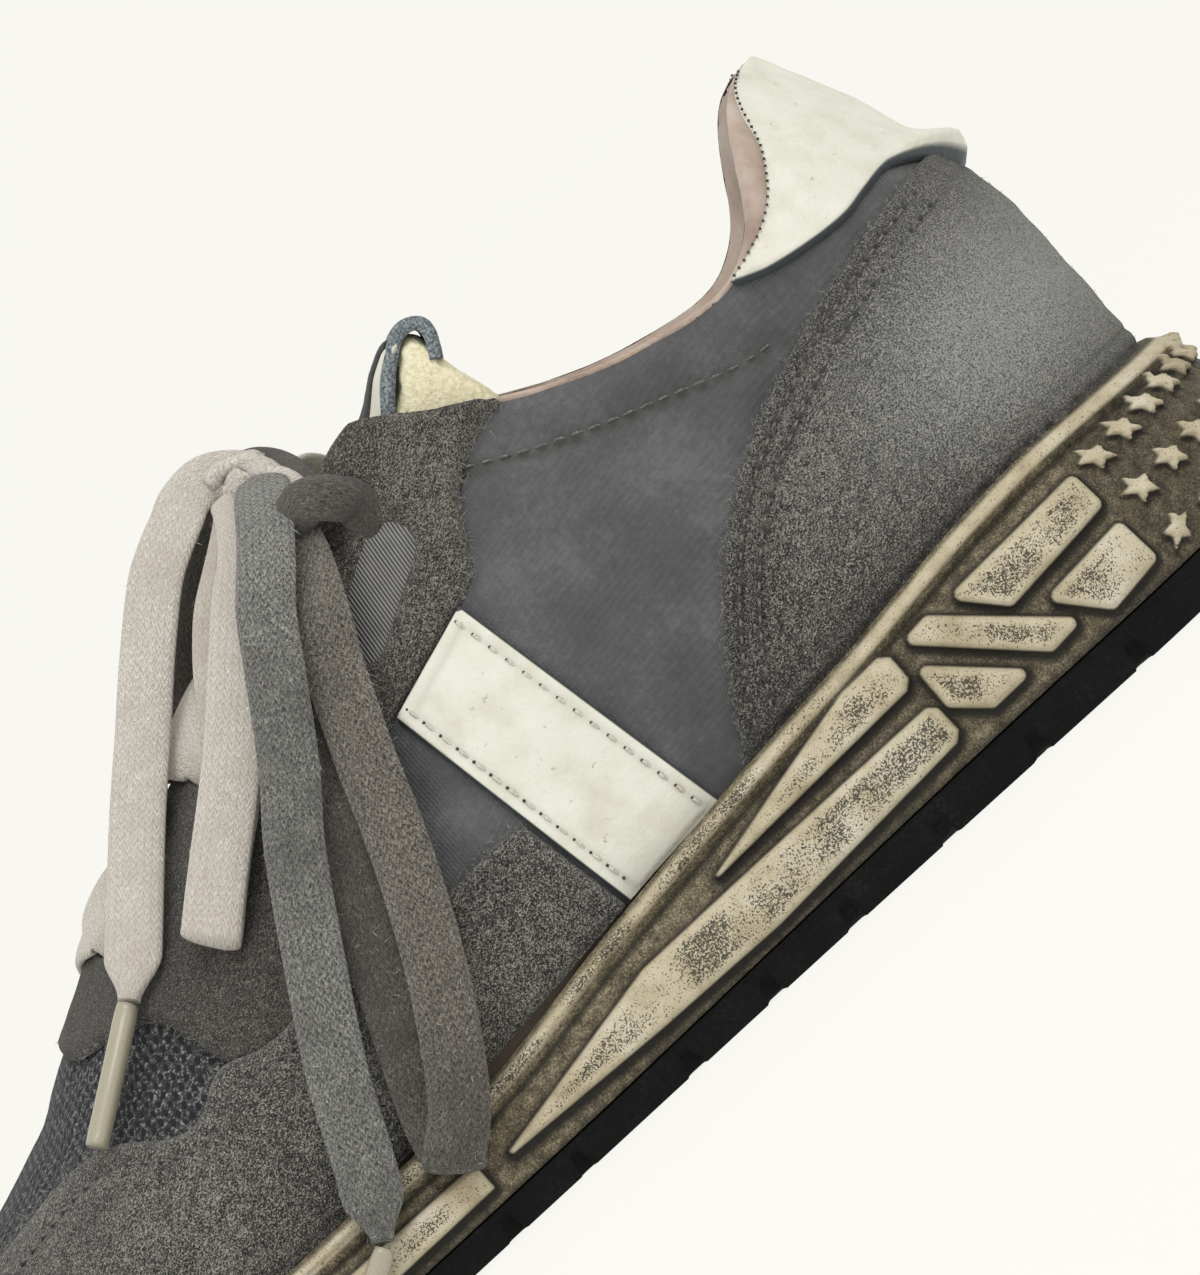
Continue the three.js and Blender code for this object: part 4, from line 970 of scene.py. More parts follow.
height = sums(mesh_cloth, "ADD", strand, sums(mesh_cloth, "MULTIPLY", dust, 0.4))
bump = add(mesh_cloth, "Bump", None, {"Strength": 0.8, "Distance": 0.0005, "Height": height})
close_material(mesh_cloth, {"Base Color": mixed, "Roughness": 0.9, "Normal": bump})

# %% [markdown]
# White leather is nearly smooth: fine wrinkles from a stretched cell pattern, dirt in the low places, and a
# raw grey cut edge that the depth attribute brings out.

# %% Leather, lining, foam and webbing
# Coated leather: pale and smooth, with a soft shine. Pores are 1 mm wide, wrinkles 6 mm.
leather = new_material("white_leather")
place = add(leather, "TexCoord", None, None, 3)
pores = add(leather, "TexVoronoi", {"feature": "DISTANCE_TO_EDGE"}, {"Vector": place, "Scale": 900})
crinkle = add(leather, "TexNoise", None, {"Vector": place, "Scale": 160, "Detail": 6, "Roughness": 0.6})
smear = add(
    leather, "ValToRGB", {"ramp": [(0.3, "#eae7d6"), (0.5, "#f8f6e8"), (0.7, "#fffef2")]}, {0: crinkle}
)
spots = add(leather, "TexNoise", None, {"Vector": place, "Scale": 700, "Detail": 3, "Roughness": 0.7})
speck = add(leather, "MapRange", None, {0: spots, 1: 0.66, 2: 0.74, 3: 0.0, 4: 0.5})
soil = add(leather, "Attribute", {"attribute_name": "soil"}, None, 2)
dirty = sums(leather, "MAXIMUM", speck, sums(leather, "MULTIPLY", soil, crinkle))
mixed = add(leather, "Mix", {"data_type": "RGBA"}, {0: dirty, 6: smear, 7: colour("#6f6a5e")}, 2)
depth = add(leather, "Attribute", {"attribute_name": "depth"}, None, 2)
raw = add(leather, "MapRange", None, {0: depth, 1: 0.3, 2: 0.5, 3: 1.0, 4: 0.0})
mixed = add(leather, "Mix", {"data_type": "RGBA"}, {0: raw, 6: mixed, 7: colour("#4b5256")}, 2)
height = sums(leather, "ADD", sums(leather, "MULTIPLY", pores, 0.5), crinkle)
bump = add(leather, "Bump", None, {"Strength": 0.35, "Distance": 0.0005, "Height": height})
close_material(leather, {"Base Color": mixed, "Roughness": 0.48, "Normal": bump, "Specular IOR Level": 0.4})

# Brushed cotton lining: dull, soft and blotched. Its pile is drawn 0.5 mm wide, so that it shows.
lining = new_material("pink_lining")
place = add(lining, "TexCoord", None, None, 3)
cloud = add(lining, "TexNoise", None, {"Vector": place, "Scale": 130, "Detail": 6, "Roughness": 0.6})
fine = add(lining, "TexNoise", None, {"Vector": place, "Scale": 2200, "Detail": 3})
base = add(lining, "ValToRGB", {"ramp": [(0.3, "#a58d7e"), (0.5, "#c4ae9f"), (0.72, "#d6c6ba")]}, {0: cloud})
height = sums(lining, "ADD", cloud, sums(lining, "MULTIPLY", fine, 0.25))
bump = add(lining, "Bump", None, {"Strength": 0.4, "Distance": 0.0006, "Height": height})
close_material(lining, {"Base Color": base, "Roughness": 0.6, "Normal": bump, "Sheen Weight": 0.2})

# Open-cell polyurethane foam, yellowed by age: crumbly cells 1 mm wide, and no shine.
foam = new_material("yellowed_foam")
place = add(foam, "TexCoord", None, None, 3)
cells = add(foam, "TexNoise", None, {"Vector": place, "Scale": 1100, "Detail": 4, "Roughness": 0.75})
base = add(foam, "ValToRGB", {"ramp": [(0.3, "#d6cda6"), (0.5, "#f2ecd0"), (0.7, "#fffbe8")]}, {0: cells})
base = add(
    foam, "Mix", {"data_type": "RGBA", "blend_type": "MULTIPLY"},
    {0: 1.0, 6: base, 7: (1.4, 1.38, 1.3, 1)}, 2,
)
bump = add(foam, "Bump", None, {"Strength": 0.6, "Distance": 0.0008, "Height": cells})
close_material(foam, {"Base Color": base, "Roughness": 0.95, "Normal": bump, "Specular IOR Level": 0.1})

# The cut edge of dyed split leather: blue-grey hairs, drawn 0.5 mm wide so that they show.
raw_edge = new_material("raw_cut_edge")
place = add(raw_edge, "TexCoord", None, None, 3)
hairs = add(raw_edge, "TexNoise", None, {"Vector": place, "Scale": 2200, "Detail": 4, "Roughness": 0.8})
base = add(
    raw_edge, "ValToRGB", {"ramp": [(0.38, "#5a646b"), (0.5, "#8b979e"), (0.62, "#ccd3d6")]}, {0: hairs}
)
bump = add(raw_edge, "Bump", None, {"Strength": 0.8, "Distance": 0.0005, "Height": hairs})
close_material(raw_edge, {"Base Color": base, "Roughness": 0.95, "Normal": bump})

# Woven polyester tape: ribs half a millimetre apart. The light they catch on one side is painted into their
# colour, as well as shaped by the bump.
webbing = new_material("ribbed_webbing")
uv = add(webbing, "UVMap", {"uv_map": "UVMap"})
slanted = add(webbing, "Mapping", None, {0: uv, "Rotation": (0, 0, math.radians(-7))})
ribs = add(
    webbing, "TexWave", {"bands_direction": "X"}, {"Vector": slanted, "Scale": 0.62, "Distortion": 0.3}
)
place = add(webbing, "TexCoord", None, None, 3)
cloud = add(webbing, "TexNoise", None, {"Vector": place, "Scale": 300, "Detail": 4})
# Painted light: the rib wave lightens and darkens the colour across each rib.
tone = sums(webbing, "ADD", sums(webbing, "MULTIPLY", ribs, 0.75), sums(webbing, "MULTIPLY", cloud, 0.35))
base = add(webbing, "ValToRGB", {"ramp": [(0.2, "#565554"), (0.55, "#82807f"), (0.9, "#b3b1ae")]}, {0: tone})
bump = add(webbing, "Bump", None, {"Strength": 0.7, "Distance": 0.0004, "Height": ribs})
close_material(webbing, {"Base Color": base, "Roughness": 0.85, "Normal": bump})

# %% [markdown]
# ## Upper
# The wall is two skins: nylon or mesh outside, pink lining inside. Both are cut along the same opening, and
# near that edge the lining rises to meet the nylon, so the collar reads as a padded roll.


# %% Upper
def lip_height(x):
    return midsole_top(x) + spring(x)


midsole_top = curve(
    (0, 32.2), (31, 34), (47, 33.1), (60, 31.4), (71, 29.8), (95, 27.1), (126, 22.9), (150, 19), (178, 18.2),
    (215, 18), (296, 18.6),
)
SEAM = spline([(98, 87.6), (95, 86), (86, 81.6), (76.4, 77.6), (66, 74), (55.8, 70.6), (48, 69.6)])
MESH_FROM = 172
CREASES = [  # from (x, z) to (x, z), half width, depth: soft troughs of the outer quarter
    ((58, 79), (66, 62), 3.5, 0.7),
    ((84, 84), (78, 66), 4.5, 0.6),
    ((70, 70), (92, 60), 4.0, 0.5),
    ((96, 78), (88, 60), 3.0, 0.5),
    ((132, 56), (150, 46), 2.5, 0.5),
    ((205, 56), (212, 40), 3.0, 0.6),
]


def off_line(place, line):
    best = np.full(len(place), 1e9)
    for a, b in zip(line[:-1], line[1:]):
        edge = b - a
        t = np.clip(((place - a) @ edge) / max(edge @ edge, 1e-12), 0, 1)
        best = np.minimum(best, ((place - a - t[:, None] * edge) ** 2).sum(1))
    return np.sqrt(best)


def quarter_relief(p):
    """Padding above the collar seam, the seam's own groove, and creases."""
    flat = p[:, [0, 2]]
    seam = off_line(flat, SEAM)
    edge = np.clip(-opening(p), 0, 12)
    puff = 0.9 * ease(seam, 0, 5) * (flat[:, 1] > np.interp(flat[:, 0], SEAM[::-1, 0], SEAM[::-1, 1]))
    puff = puff * ease(edge, 0, 4) * (flat[:, 0] < 98) * (flat[:, 0] > 48)
    lift = puff - 0.5 * np.exp(-((seam / 0.8) ** 2)) + 0.22 * ripple(p, 14, 3) + 0.1 * ripple(p, 6, 4)
    for a, b, reach, deep in CREASES:
        lift = lift - deep * np.exp(-((off_line(flat, np.array([a, b], float)) / reach) ** 2))
    return lift


def wall_field(p, side):
    return np.maximum(opening(p), np.maximum(eyelets(p), lip_height(p[:, 0]) - 3 - p[:, 2]))


places, faces = cut_net(wall_field, 1.7, cuts=(-0.5, -1.2))
flat = skin(*places.T, 1.0)
edge = np.clip(-opening(flat), 0, 30)
lift = (
    -0.5 + 0.5 * np.sqrt(1 - (1 - np.clip(edge / 1.2, 0, 1)) ** 2) + quarter_relief(flat) * ease(edge, 0, 3)
)
points = skin(*places.T, lift)
uv = np.stack([flat[:, 0], places[:, 1] * 60], 1)
seam_dark = 0.8 * np.exp(-((off_line(flat[:, [0, 2]], SEAM) / 0.7) ** 2))
points, faces, uv, seam_dark = tidy_mesh(points, faces, uv, seam_dark)
front = points[faces].mean(1)[:, 0] > MESH_FROM
upper_skin = piece("upper_skin", points, faces, nylon, "nylon", ["upper"], uv, {"soil": seam_dark})
upper_skin.data.materials.append(mesh_cloth)
upper_skin.data.polygons.foreach_set("material_index", front.astype(np.int32))


def lining_field(p, side):
    return np.maximum(opening(p), cup_floor(p[:, 0]) + 1 - p[:, 2])


places, faces = cut_net(lining_field, 2.8, cuts=(-0.5, -1.5, -3, -5), w_range=(-0.95, 1))
flat = skin(*places.T, 1.0)
edge = np.clip(-opening(flat), 0, 40)
pad = 4.5 * ease(flat[:, 2], 62, 76) * (1 - ease(flat[:, 0], 62, 80))
sink = -0.4 - (2.1 + pad) * np.sqrt(1 - (1 - np.clip(edge / 7, 0, 1)) ** 2)
points = skin(*places.T, sink + 0.25 * ripple(flat, 12, 8))
points, faces = tidy_mesh(points, faces)
collar_lining = piece("collar_lining", points, faces[:, ::-1], lining, "lining")

# %% [markdown]
# ## Overlays
# The suede and leather panels lie on the skin. Their outlines are the CAD ones; what Blender adds is the cut
# edge, the line of stitches pulled into the leather, and unevenness from years of wear.

# %% Suede panels
def stitch_groove(depth, *rows):
    return sum(-0.25 * np.exp(-(((depth - row) / 0.55) ** 2)) for row in rows)


SLOT = np.array([(110.5, 84.6), (122.5, 77.6)], float)
SADDLE_ROOM = np.array([(108.2, 74), (127.2, 67.2), (109.5, -30), (87.5, -30)], float)
MUDGUARD_LINE = spline(
    [
        (105, 24), (109, 31), (114, 37), (120, 41.4), (127, 43.2), (138, 43), (147, 47.6), (153, 49.4),
        (157, 48), (166, 44.2), (172, 44.4), (176.8, 45.8), (180, 45.4), (185.3, 42.5), (190, 43.3),
        (197, 47.6), (205, 48.6), (220, 46.2), (236, 43.8), (250, 42.6), (262, 43.5),
    ]
)
COUNTER_LINE = spline([
    (18, 74.5), (30, 72.5), (45, 68.5), (60, 62.5), (70, 56.6), (77, 50.5), (83.5, 43), (89, 35), (95, 24),
])
EYESTAY_LINE = spline(
    [
        (83.6, 90.4), (89, 88.6), (95, 86.4), (99, 82.6), (102, 77.5), (105.5, 73.4), (116, 69.6),
        (129, 65.2), (143, 57.5), (156, 49.6), (166, 45.2), (175.5, 46.4), (178.4, 52), (181.4, 57),
        (187, 59), (194, 59.8), (196.4, 63),
    ]
)
mudguard_outline = np.vstack([MUDGUARD_LINE, [(262, 80), (330, 80), (330, -40), (100, -40)]])
counter_outline = np.vstack([COUNTER_LINE, [(95, -40), (-30, -40), (-30, 75), (18, 74.5)]])
eyestay_outline = np.vstack([EYESTAY_LINE, [(197, 80), (197, 160), (70, 160), (78, 95)]])


def below_lip(p):
    return lip_height(p[:, 0]) - 2 - p[:, 2]


def mudguard_field(p, side):
    seen = p[:, [0, 2]]
    return np.maximum.reduce([signed(mudguard_outline, seen), -signed(SADDLE_ROOM, seen), below_lip(p)])


def counter_field(p, side):
    seen = p[:, [0, 2]]
    return np.maximum.reduce([signed(counter_outline, seen), -signed(SADDLE_ROOM, seen), below_lip(p)])


def slot_distance(p):
    return off_line(p[:, [0, 2]], SLOT) - 3.6


def eyestay_field(p, side):
    meets = 1.5 * ease(p[:, 0], 142, 158) * (1 - ease(p[:, 0], 176, 179))  # down to the mudguard
    return np.maximum.reduce(
        [signed(eyestay_outline, p[:, [0, 2]]) - meets, opening(p) + 0.9, eyelets(p), -slot_distance(p)]
    )


def mudguard_relief(p, depth, side):
    return 0.28 * ripple(p, 17, 11) + 0.16 * ripple(p, 6, 12) + stitch_groove(depth, 3.0)


def eyestay_relief(p, depth, side):
    """The padded top corner stands up beside the tongue."""
    stand = 1.7 * ease(opening(p) + 9, 0, 7) * (1 - ease(p[:, 0], 106, 120))
    return 0.28 * ripple(p, 17, 31) + 0.16 * ripple(p, 6, 32) + stand


def counter_relief(p, depth, side):
    return 0.3 * ripple(p, 20, 21) + 0.18 * ripple(p, 7, 22) + stitch_groove(depth, 2.4, 5.2)


def counter_tint(p, depth):
    # Painted light: haze is a pale pool where the light falls on the middle of the counter.
    haze = np.exp(-(((p[:, 0] - 22) / 26) ** 2) - ((p[:, 2] - 51) / 15) ** 2)
    soil = 0.8 * ease(-p[:, 2] + lip_height(p[:, 0]) + 4, 0, 5) - stitch_groove(depth, 2.4, 5.2)
    # Painted shade: darker towards the counter's edges, away from that pool of light.
    soil = soil + 0.45 * np.exp(-depth / 7) * (1 - haze)
    return {"pale": 1.12 * haze, "soil": np.clip(soil, 0, 1)}


def suede_tint(p, depth):
    soil = 0.7 * ease(-p[:, 2] + lip_height(p[:, 0]) + 4, 0, 5) - 0.5 * stitch_groove(depth, 3.0)
    return {"pale": 0.2 * np.exp(-depth / 1.2), "soil": np.clip(soil, 0, 1)}


def eyestay_tint(p, depth):
    soil = 0.6 * ease(p[:, 0], 125, 165) + 0.2 * np.exp(-depth / 1.5)
    return {"pale": 0.15 * np.exp(-depth / 0.8), "soil": soil}


mudguard_suede = panel(
    "mudguard_suede", grey_suede, "suede", mudguard_field, 1.5, relief=mudguard_relief,
    stands_for=["mudguard"], tint=suede_tint, s_range=(1.2, 3),
)
heel_counter_suede = panel(
    "heel_counter_suede", grey_suede, "suede", counter_field, 1.5, relief=counter_relief,
    stands_for=["heel_counter"], tint=counter_tint, s_range=(0, 1.4), step=1.0,
)
eyestay_suede = panel(
    "eyestay_suede", brown_suede, "suede", eyestay_field, 1.5, relief=eyestay_relief,
    stands_for=["eyestay"], tint=eyestay_tint, s_range=(1.1, 2), w_range=(0, 1), step=1.0,
)

# %% Strap, webbing and heel tab
SADDLE = np.array([(108.6, 71.9), (126.4, 65.9), (109, -30), (88, -30)], float)


def saddle_field(p, side):
    return np.maximum(signed(SADDLE, p[:, [0, 2]]), below_lip(p))


def strap_relief(p, depth, side):
    return 0.15 * ripple(p, 12, 41) + stitch_groove(depth, 2.2)


def strap_tint(p, depth):
    return {
        "soil": np.clip(
            0.8 * ease(lip_height(p[:, 0]) + 6 - p[:, 2], 0, 8) - 1.2 * stitch_groove(depth, 2.2), 0, 1
        )
    }


panel("saddle_leather", leather, "white_leather", saddle_field, 1.5, round_edge=0.6, relief=strap_relief,
      stands_for=["saddle_outer", "saddle_inner"], tint=strap_tint, s_range=(1.1, 1.6), step=0.9)


def webbing_field(p, side):
    return slot_distance(p) - 2.5


panel("webbing_tape", webbing, "webbing", webbing_field, 0.6, stands_for=["webbing_outer", "webbing_inner"],
      s_range=(1.25, 1.6), w_range=(0.1, 1), step=0.7)

TAB_LINE = spline(
    [
        (51, 80.7), (44, 77.8), (36, 76.4), (29.8, 76), (25, 76.8), (20, 77.2), (15.5, 75), (13, 72),
        (11.5, 69), (9, 67),
    ]
)
tab_outline = np.vstack([TAB_LINE, [(-30, 65), (-30, 140), (60, 140), (55, 84)]])


def tab_edge(p):
    """How much of the lining roll stays bare: none on top of the heel, most at the collar's waist."""
    return 0.9 + 3.6 * ease(52 - p[:, 0], 3, 20) * (1 - ease(p[:, 2], 90, 102.5))


def tab_field(p, side):
    return np.maximum(signed(tab_outline, p[:, [0, 2]]), opening(p) + tab_edge(p))


def tab_relief(p, depth, side):
    """Soft dents, and the lower edge that peels away from the back of the heel."""
    peel = 5.4 * ease(80 - p[:, 2], 0, 12) * ease(22 - p[:, 0], 0, 9)
    return 0.3 * ripple(p, 16, 51) + 0.1 * ripple(p, 5, 52) + peel


def tab_tint(p, depth):
    return {"depth": np.clip(-signed(tab_outline, p[:, [0, 2]]), 0, 30), "soil": 0 * depth}


panel("heel_tab_leather", leather, "white_leather", tab_field, 1.7, round_edge=0.8, relief=tab_relief,
      stands_for=["heel_tab"], tint=tab_tint, s_range=(0, 1.3), w_range=(0.1, 1), step=0.8)


# %% Lining roll over the collar's edge
def roll_reach(p):
    """Wide at the collar's waist, a thin line along the sides and under the tab's top."""
    return 1.1 + 4.9 * (1 - ease(p[:, 0], 32, 50)) * (1 - 0.75 * ease(p[:, 2], 90, 102.5))


def roll_field(p, side):
    return np.maximum.reduce([opening(p), -opening(p) - roll_reach(p), p[:, 0] - 93])


places, faces = cut_net(roll_field, 0.8, cuts=(-0.3, -0.8, -1.6), s_range=(0, 1.4), w_range=(0.2, 1))
flat = skin(*places.T, 1.0)
reach = roll_reach(flat)
edge = np.clip(-opening(flat) / reach, 0, 1)
swell = -0.3 + (0.25 + 0.38 * reach) * np.sin(edge * math.pi) ** 0.8 + 0.05 * reach * ripple(flat, 5, 61)
points, faces = tidy_mesh(skin(*places.T, swell), faces)
piece("collar_roll", points, faces, lining, "lining")

# %% [markdown]
# ## Sole
# The midsole's side is one net round the shoe. The raised bars and stars of the mould are distances in the
# side view, turned into a rise of a millimetre and a half with a soft shoulder. The same distances tell the
# material where the foam stands out and is rubbed clean, where it lies low and keeps the dirt, and where
# shade is painted on: under the bars and stars, in the ditch under the bead and at the foot of the wall.

# %% Sole materials
# Moulded foam: cream where it is rubbed clean, with grit 0.3 mm wide in its skin and mud in the low places.
# Its shade attribute is painted shade, which darkens the low places further.
eva = new_material("dirty_eva_foam")
place = add(eva, "TexCoord", None, None, 3)
raised, inside, shade = (
    add(eva, "Attribute", {"attribute_name": key}, None, 2) for key in ("raised", "inside", "shade")
)
cloud = add(eva, "TexNoise", None, {"Vector": place, "Scale": 110, "Detail": 6, "Roughness": 0.65})
patch = add(eva, "TexNoise", None, {"Vector": place, "Scale": 95, "Detail": 3, "Roughness": 0.5})
streak = add(eva, "TexNoise", None, {"Vector": place, "Scale": 500, "Detail": 5, "Roughness": 0.7})
grit = add(
    eva, "TexNoise", None, {"Vector": place, "Scale": 3400, "Detail": 2, "Roughness": 0.6, "Distortion": 0.5}
)
clean = add(eva, "ValToRGB", {"ramp": [(0.3, "#bcad8e"), (0.5, "#d9cdb0"), (0.7, "#ece4cf")]}, {0: cloud})
thick = add(eva, "MapRange", None, {0: patch, 1: 0.38, 2: 0.58, 3: 0.02, 4: 0.18})
dotted = sums(eva, "ADD", grit, sums(eva, "MULTIPLY", thick, inside))
dots = add(eva, "MapRange", None, {0: dotted, 1: 0.62, 2: 0.68, 3: 0.0, 4: 0.88})
top = add(eva, "Mix", {"data_type": "RGBA"}, {0: dots, 6: clean, 7: colour("#2b2822")}, 2)
muddy = sums(eva, "ADD", sums(eva, "MULTIPLY", streak, 0.45), sums(eva, "MULTIPLY", grit, 0.55))
mud = add(eva, "ValToRGB", {"ramp": [(0.36, "#332d24"), (0.5, "#736953"), (0.64, "#b3a68a")]}, {0: muddy})
# Painted shade: the low foam goes nearly black where the shade attribute is high.
low = add(eva, "Mix", {"data_type": "RGBA"}, {0: shade, 6: mud, 7: colour("#1b1814")}, 2)
on_top = add(
    eva, "MapRange", {"interpolation_type": "SMOOTHSTEP"}, {0: raised, 1: 0.3, 2: 0.75, 3: 0.0, 4: 1.0}
)
mixed = add(eva, "Mix", {"data_type": "RGBA"}, {0: on_top, 6: low, 7: top}, 2)
height = sums(eva, "ADD", sums(eva, "MULTIPLY", streak, 0.5), sums(eva, "MULTIPLY", grit, 0.5))
bump = add(eva, "Bump", None, {"Strength": 0.45, "Distance": 0.0005, "Height": height})
close_material(eva, {"Base Color": mixed, "Roughness": 0.7, "Normal": bump, "Specular IOR Level": 0.3})

# Solid moulded rubber: nearly black and dull, scuffed to grey in grains of 0.7 mm.
rubber = new_material("black_rubber")
place = add(rubber, "TexCoord", None, None, 3)
grit = add(rubber, "TexNoise", None, {"Vector": place, "Scale": 1500, "Detail": 5, "Roughness": 0.75})
cloud = add(rubber, "TexNoise", None, {"Vector": place, "Scale": 120, "Detail": 5, "Roughness": 0.6})
tone = sums(rubber, "ADD", sums(rubber, "MULTIPLY", grit, 0.6), sums(rubber, "MULTIPLY", cloud, 0.4))
base = add(rubber, "ValToRGB", {"ramp": [(0.35, "#0e0e0f"), (0.55, "#1a1a1b"), (0.75, "#383735")]}, {0: tone})
bump = add(rubber, "Bump", None, {"Strength": 0.6, "Distance": 0.0005, "Height": grit})
close_material(rubber, {"Base Color": base, "Roughness": 0.8, "Normal": bump, "Specular IOR Level": 0.12})

# %% Midsole
outsole_thick = curve((0, 6.8), (60, 6.4), (110, 5.4), (150, 4.8), (296, 4.6))
MIDSOLE_LAYERS = np.array(
    [  # share of the height, heel end, toe end, overhang
        (-0.02, 8, 287, -2), (0, 2.2, 293.5, 4.2), (0.22, 0.6, 295, 5), (0.45, 1.4, 294.6, 4.8),
        (0.7, 4, 292.8, 4.1), (0.84, 5.8, 291.8, 3.3), (0.92, 6.3, 291.8, 3.7), (1, 8, 290.4, 2.6),
        (1.02, 12, 286, -1.5),
    ]
)
RIBS = [  # rounding of the corners, then the corners
    (1.2, [(31, 27.4), (56.6, 26.2), (50, 18.9), (30.4, 20.9)]),
    (1.2, [(30.4, 18), (46.4, 16.7), (39.4, 8.7), (29.8, 10)]),
    (1.1, [(60, 26.4), (65.8, 25.8), (50, 10.2), (43, 10.8)]),
    (1.1, [(66.4, 22.6), (66.6, 14.4), (61.6, 9.8), (53.2, 10)]),
    (0.3, [
        (69.2, 26.5), (67.7, 25.3), (67.8, 21.2), (69.2, 20), (107, 18.4), (107.5, 19), (91, 22.9),
        (76.4, 26.2),
    ]),
    (0.3, [
        (68.8, 16.6), (67.5, 15.4), (67.4, 11), (68.8, 9.7), (105, 7.5), (127, 7.9), (155, 9.2), (155.5, 10),
        (124, 16.2), (105, 16.4),
    ]),
    (0.3, [(160, 12), (200, 12.4), (236, 14.6), (236, 13.6), (200, 7), (160, 7.4)]),
]
STAR_RADIUS = 2.6
STARS = [  # distance round the heel from its middle, height
    *[(3.2 + 6.8 * k, 28.5 - 0.28 * k) for k in range(7)],
    *[(3.1 + 7.1 * k, 20.4 - 0.18 * k) for k in range(7)],
    (0.0, 11.9), *[(7.2 + 7.8 * k, 11.8 - 0.1 * k) for k in range(6)],
]


def sole_net(layers, levels, heel_step, step, height):
    """Both sides of a sole's wall: places, then side and level of each."""
    heel_s = np.linspace(0, 1, int(60 / heel_step), endpoint=False)
    rest_s = [np.linspace(k, k + 1, int(length / step), endpoint=False) for k, length in ((1, 162), (2, 120))]
    s = np.concatenate([heel_s, *rest_s, [3.0]])[:, None]
    heel, toe, grow = (np.interp(levels, layers[:, 0], layers[:, k])[None, :] for k in (1, 2, 3))
    reach = HEEL_RADIUS + 8
    x = np.where(s < 1, heel + reach * (1 - np.cos(s * math.pi / 2)), 0)
    x = np.where((s >= 1) & (s < 2), heel + reach + (TOE_START - heel - reach) * (s - 1), x)
    x = np.where(s >= 2, TOE_START + (toe - TOE_START) * np.sin(np.clip(s - 2, 0, 1) * math.pi / 2), x)
    h = np.clip((x - heel) / reach, 0, 1)
    t = np.clip((x - TOE_START) / (toe - TOE_START), 0, 1)
    sides = []
    for side in (1, -1):
        broad = np.where(side > 0, outer_side(x) - middle(x), inner_side(x) + middle(x)) + grow
        y = middle(x) + side * broad * np.sqrt(h * (2 - h)) * np.sqrt(1 - t * t)
        sides.append(np.stack([x, y, height(x, levels[None, :])], -1))
    return sides


def midsole_height(x, level):
    low = outsole_thick(x) + spring(x) + 0.3
    return low + (lip_height(x) - low) * np.clip(level, 0, 1)


def star_distance(q, radius):
    """Signed distance to a five-point star standing on two points."""
    k1, k2 = np.array([0.809016994, -0.587785252]), np.array([-0.809016994, -0.587785252])
    q = np.stack([np.abs(q[:, 0]), q[:, 1]], 1)
    for k in (k1, k2):
        q = q - 2 * np.maximum(q @ k, 0)[:, None] * k
    q = np.stack([np.abs(q[:, 0]), q[:, 1] - radius], 1)
    arm = 0.5 * np.array([-k1[1], k1[0]]) - np.array([0, 1])
    along = np.clip((q @ arm) / (arm @ arm), 0, radius)
    return np.linalg.norm(q - arm * along[:, None], axis=1) * np.sign(q[:, 1] * arm[0] - q[:, 0] * arm[1])


def inset(outline, by):
    """The outline with all edges moved inward."""
    corner = np.array(outline, float)
    ahead = np.roll(corner, -1, 0)
    way = unit(ahead - corner)
    turn = np.sign((corner[:, 0] * ahead[:, 1] - ahead[:, 0] * corner[:, 1]).sum())
    moved = corner + np.stack([-way[:, 1], way[:, 0]], 1) * turn * by
    before, way_before = np.roll(moved, 1, 0), np.roll(way, 1, 0)
    gap = moved - before
    t = (gap[:, 0] * way[:, 1] - gap[:, 1] * way[:, 0]) / (
        way_before[:, 0] * way[:, 1] - way_before[:, 1] * way[:, 0]
    )
    return before + way_before * t[:, None]


def relief_of(wall):
    """The rise of each place of the wall, how far inside a bar it is, and how much painted shade it gets
    beside one.
    """
    seen = wall.reshape(-1, 3)[:, [0, 2]]
    bars, under_bars, stars, below_star = (np.full(len(seen), 20.0) for _ in range(4))
    for soft, rib in RIBS:
        bars = np.minimum(bars, signed(inset(rib, soft), seen) - soft)
        under_bars = np.minimum(under_bars, signed(inset(rib, soft), seen + (0, 0.6)) - soft)
    gone = np.linalg.norm(np.diff(wall[:, :, :2], axis=0), axis=-1)
    round_heel = np.vstack([np.zeros(wall.shape[1]), np.cumsum(gone, 0)]).ravel()
    near = np.flatnonzero(round_heel < 62)
    for along, z in STARS:
        q = np.stack([round_heel[near] - along, seen[near, 1] - z], 1)
        close = np.hypot(*q.T) < 5
        if close.any() and bars[near[close]].min() > -1.5:
            at = near[close]
            stars[at] = np.minimum(stars[at], star_distance(q[close], STAR_RADIUS))
            below_star[at] = np.minimum(below_star[at], star_distance(q[close] + (0, 0.7), STAR_RADIUS))
    rise = np.maximum(1 - ease(bars, -0.8, 0.6), 1 - ease(stars, -0.3, 0.4))
    # Painted shadow under each bar and each star, as if cast by a light from above; the field of stars at the
    # heel is darkened by half.
    shade = 0.95 * np.exp(-((np.maximum(under_bars - 0.3, 0) / 0.9) ** 2))
    shade = np.maximum(shade, 0.9 * np.exp(-((np.maximum(below_star, 0) / 0.55) ** 2)))
    shade = np.maximum(shade, 0.5 * (1 - ease(seen[:, 0], 26, 36)))
    return [v.reshape(wall.shape[:2]) for v in (rise, ease(-bars, 0.6, 2.0), shade)]


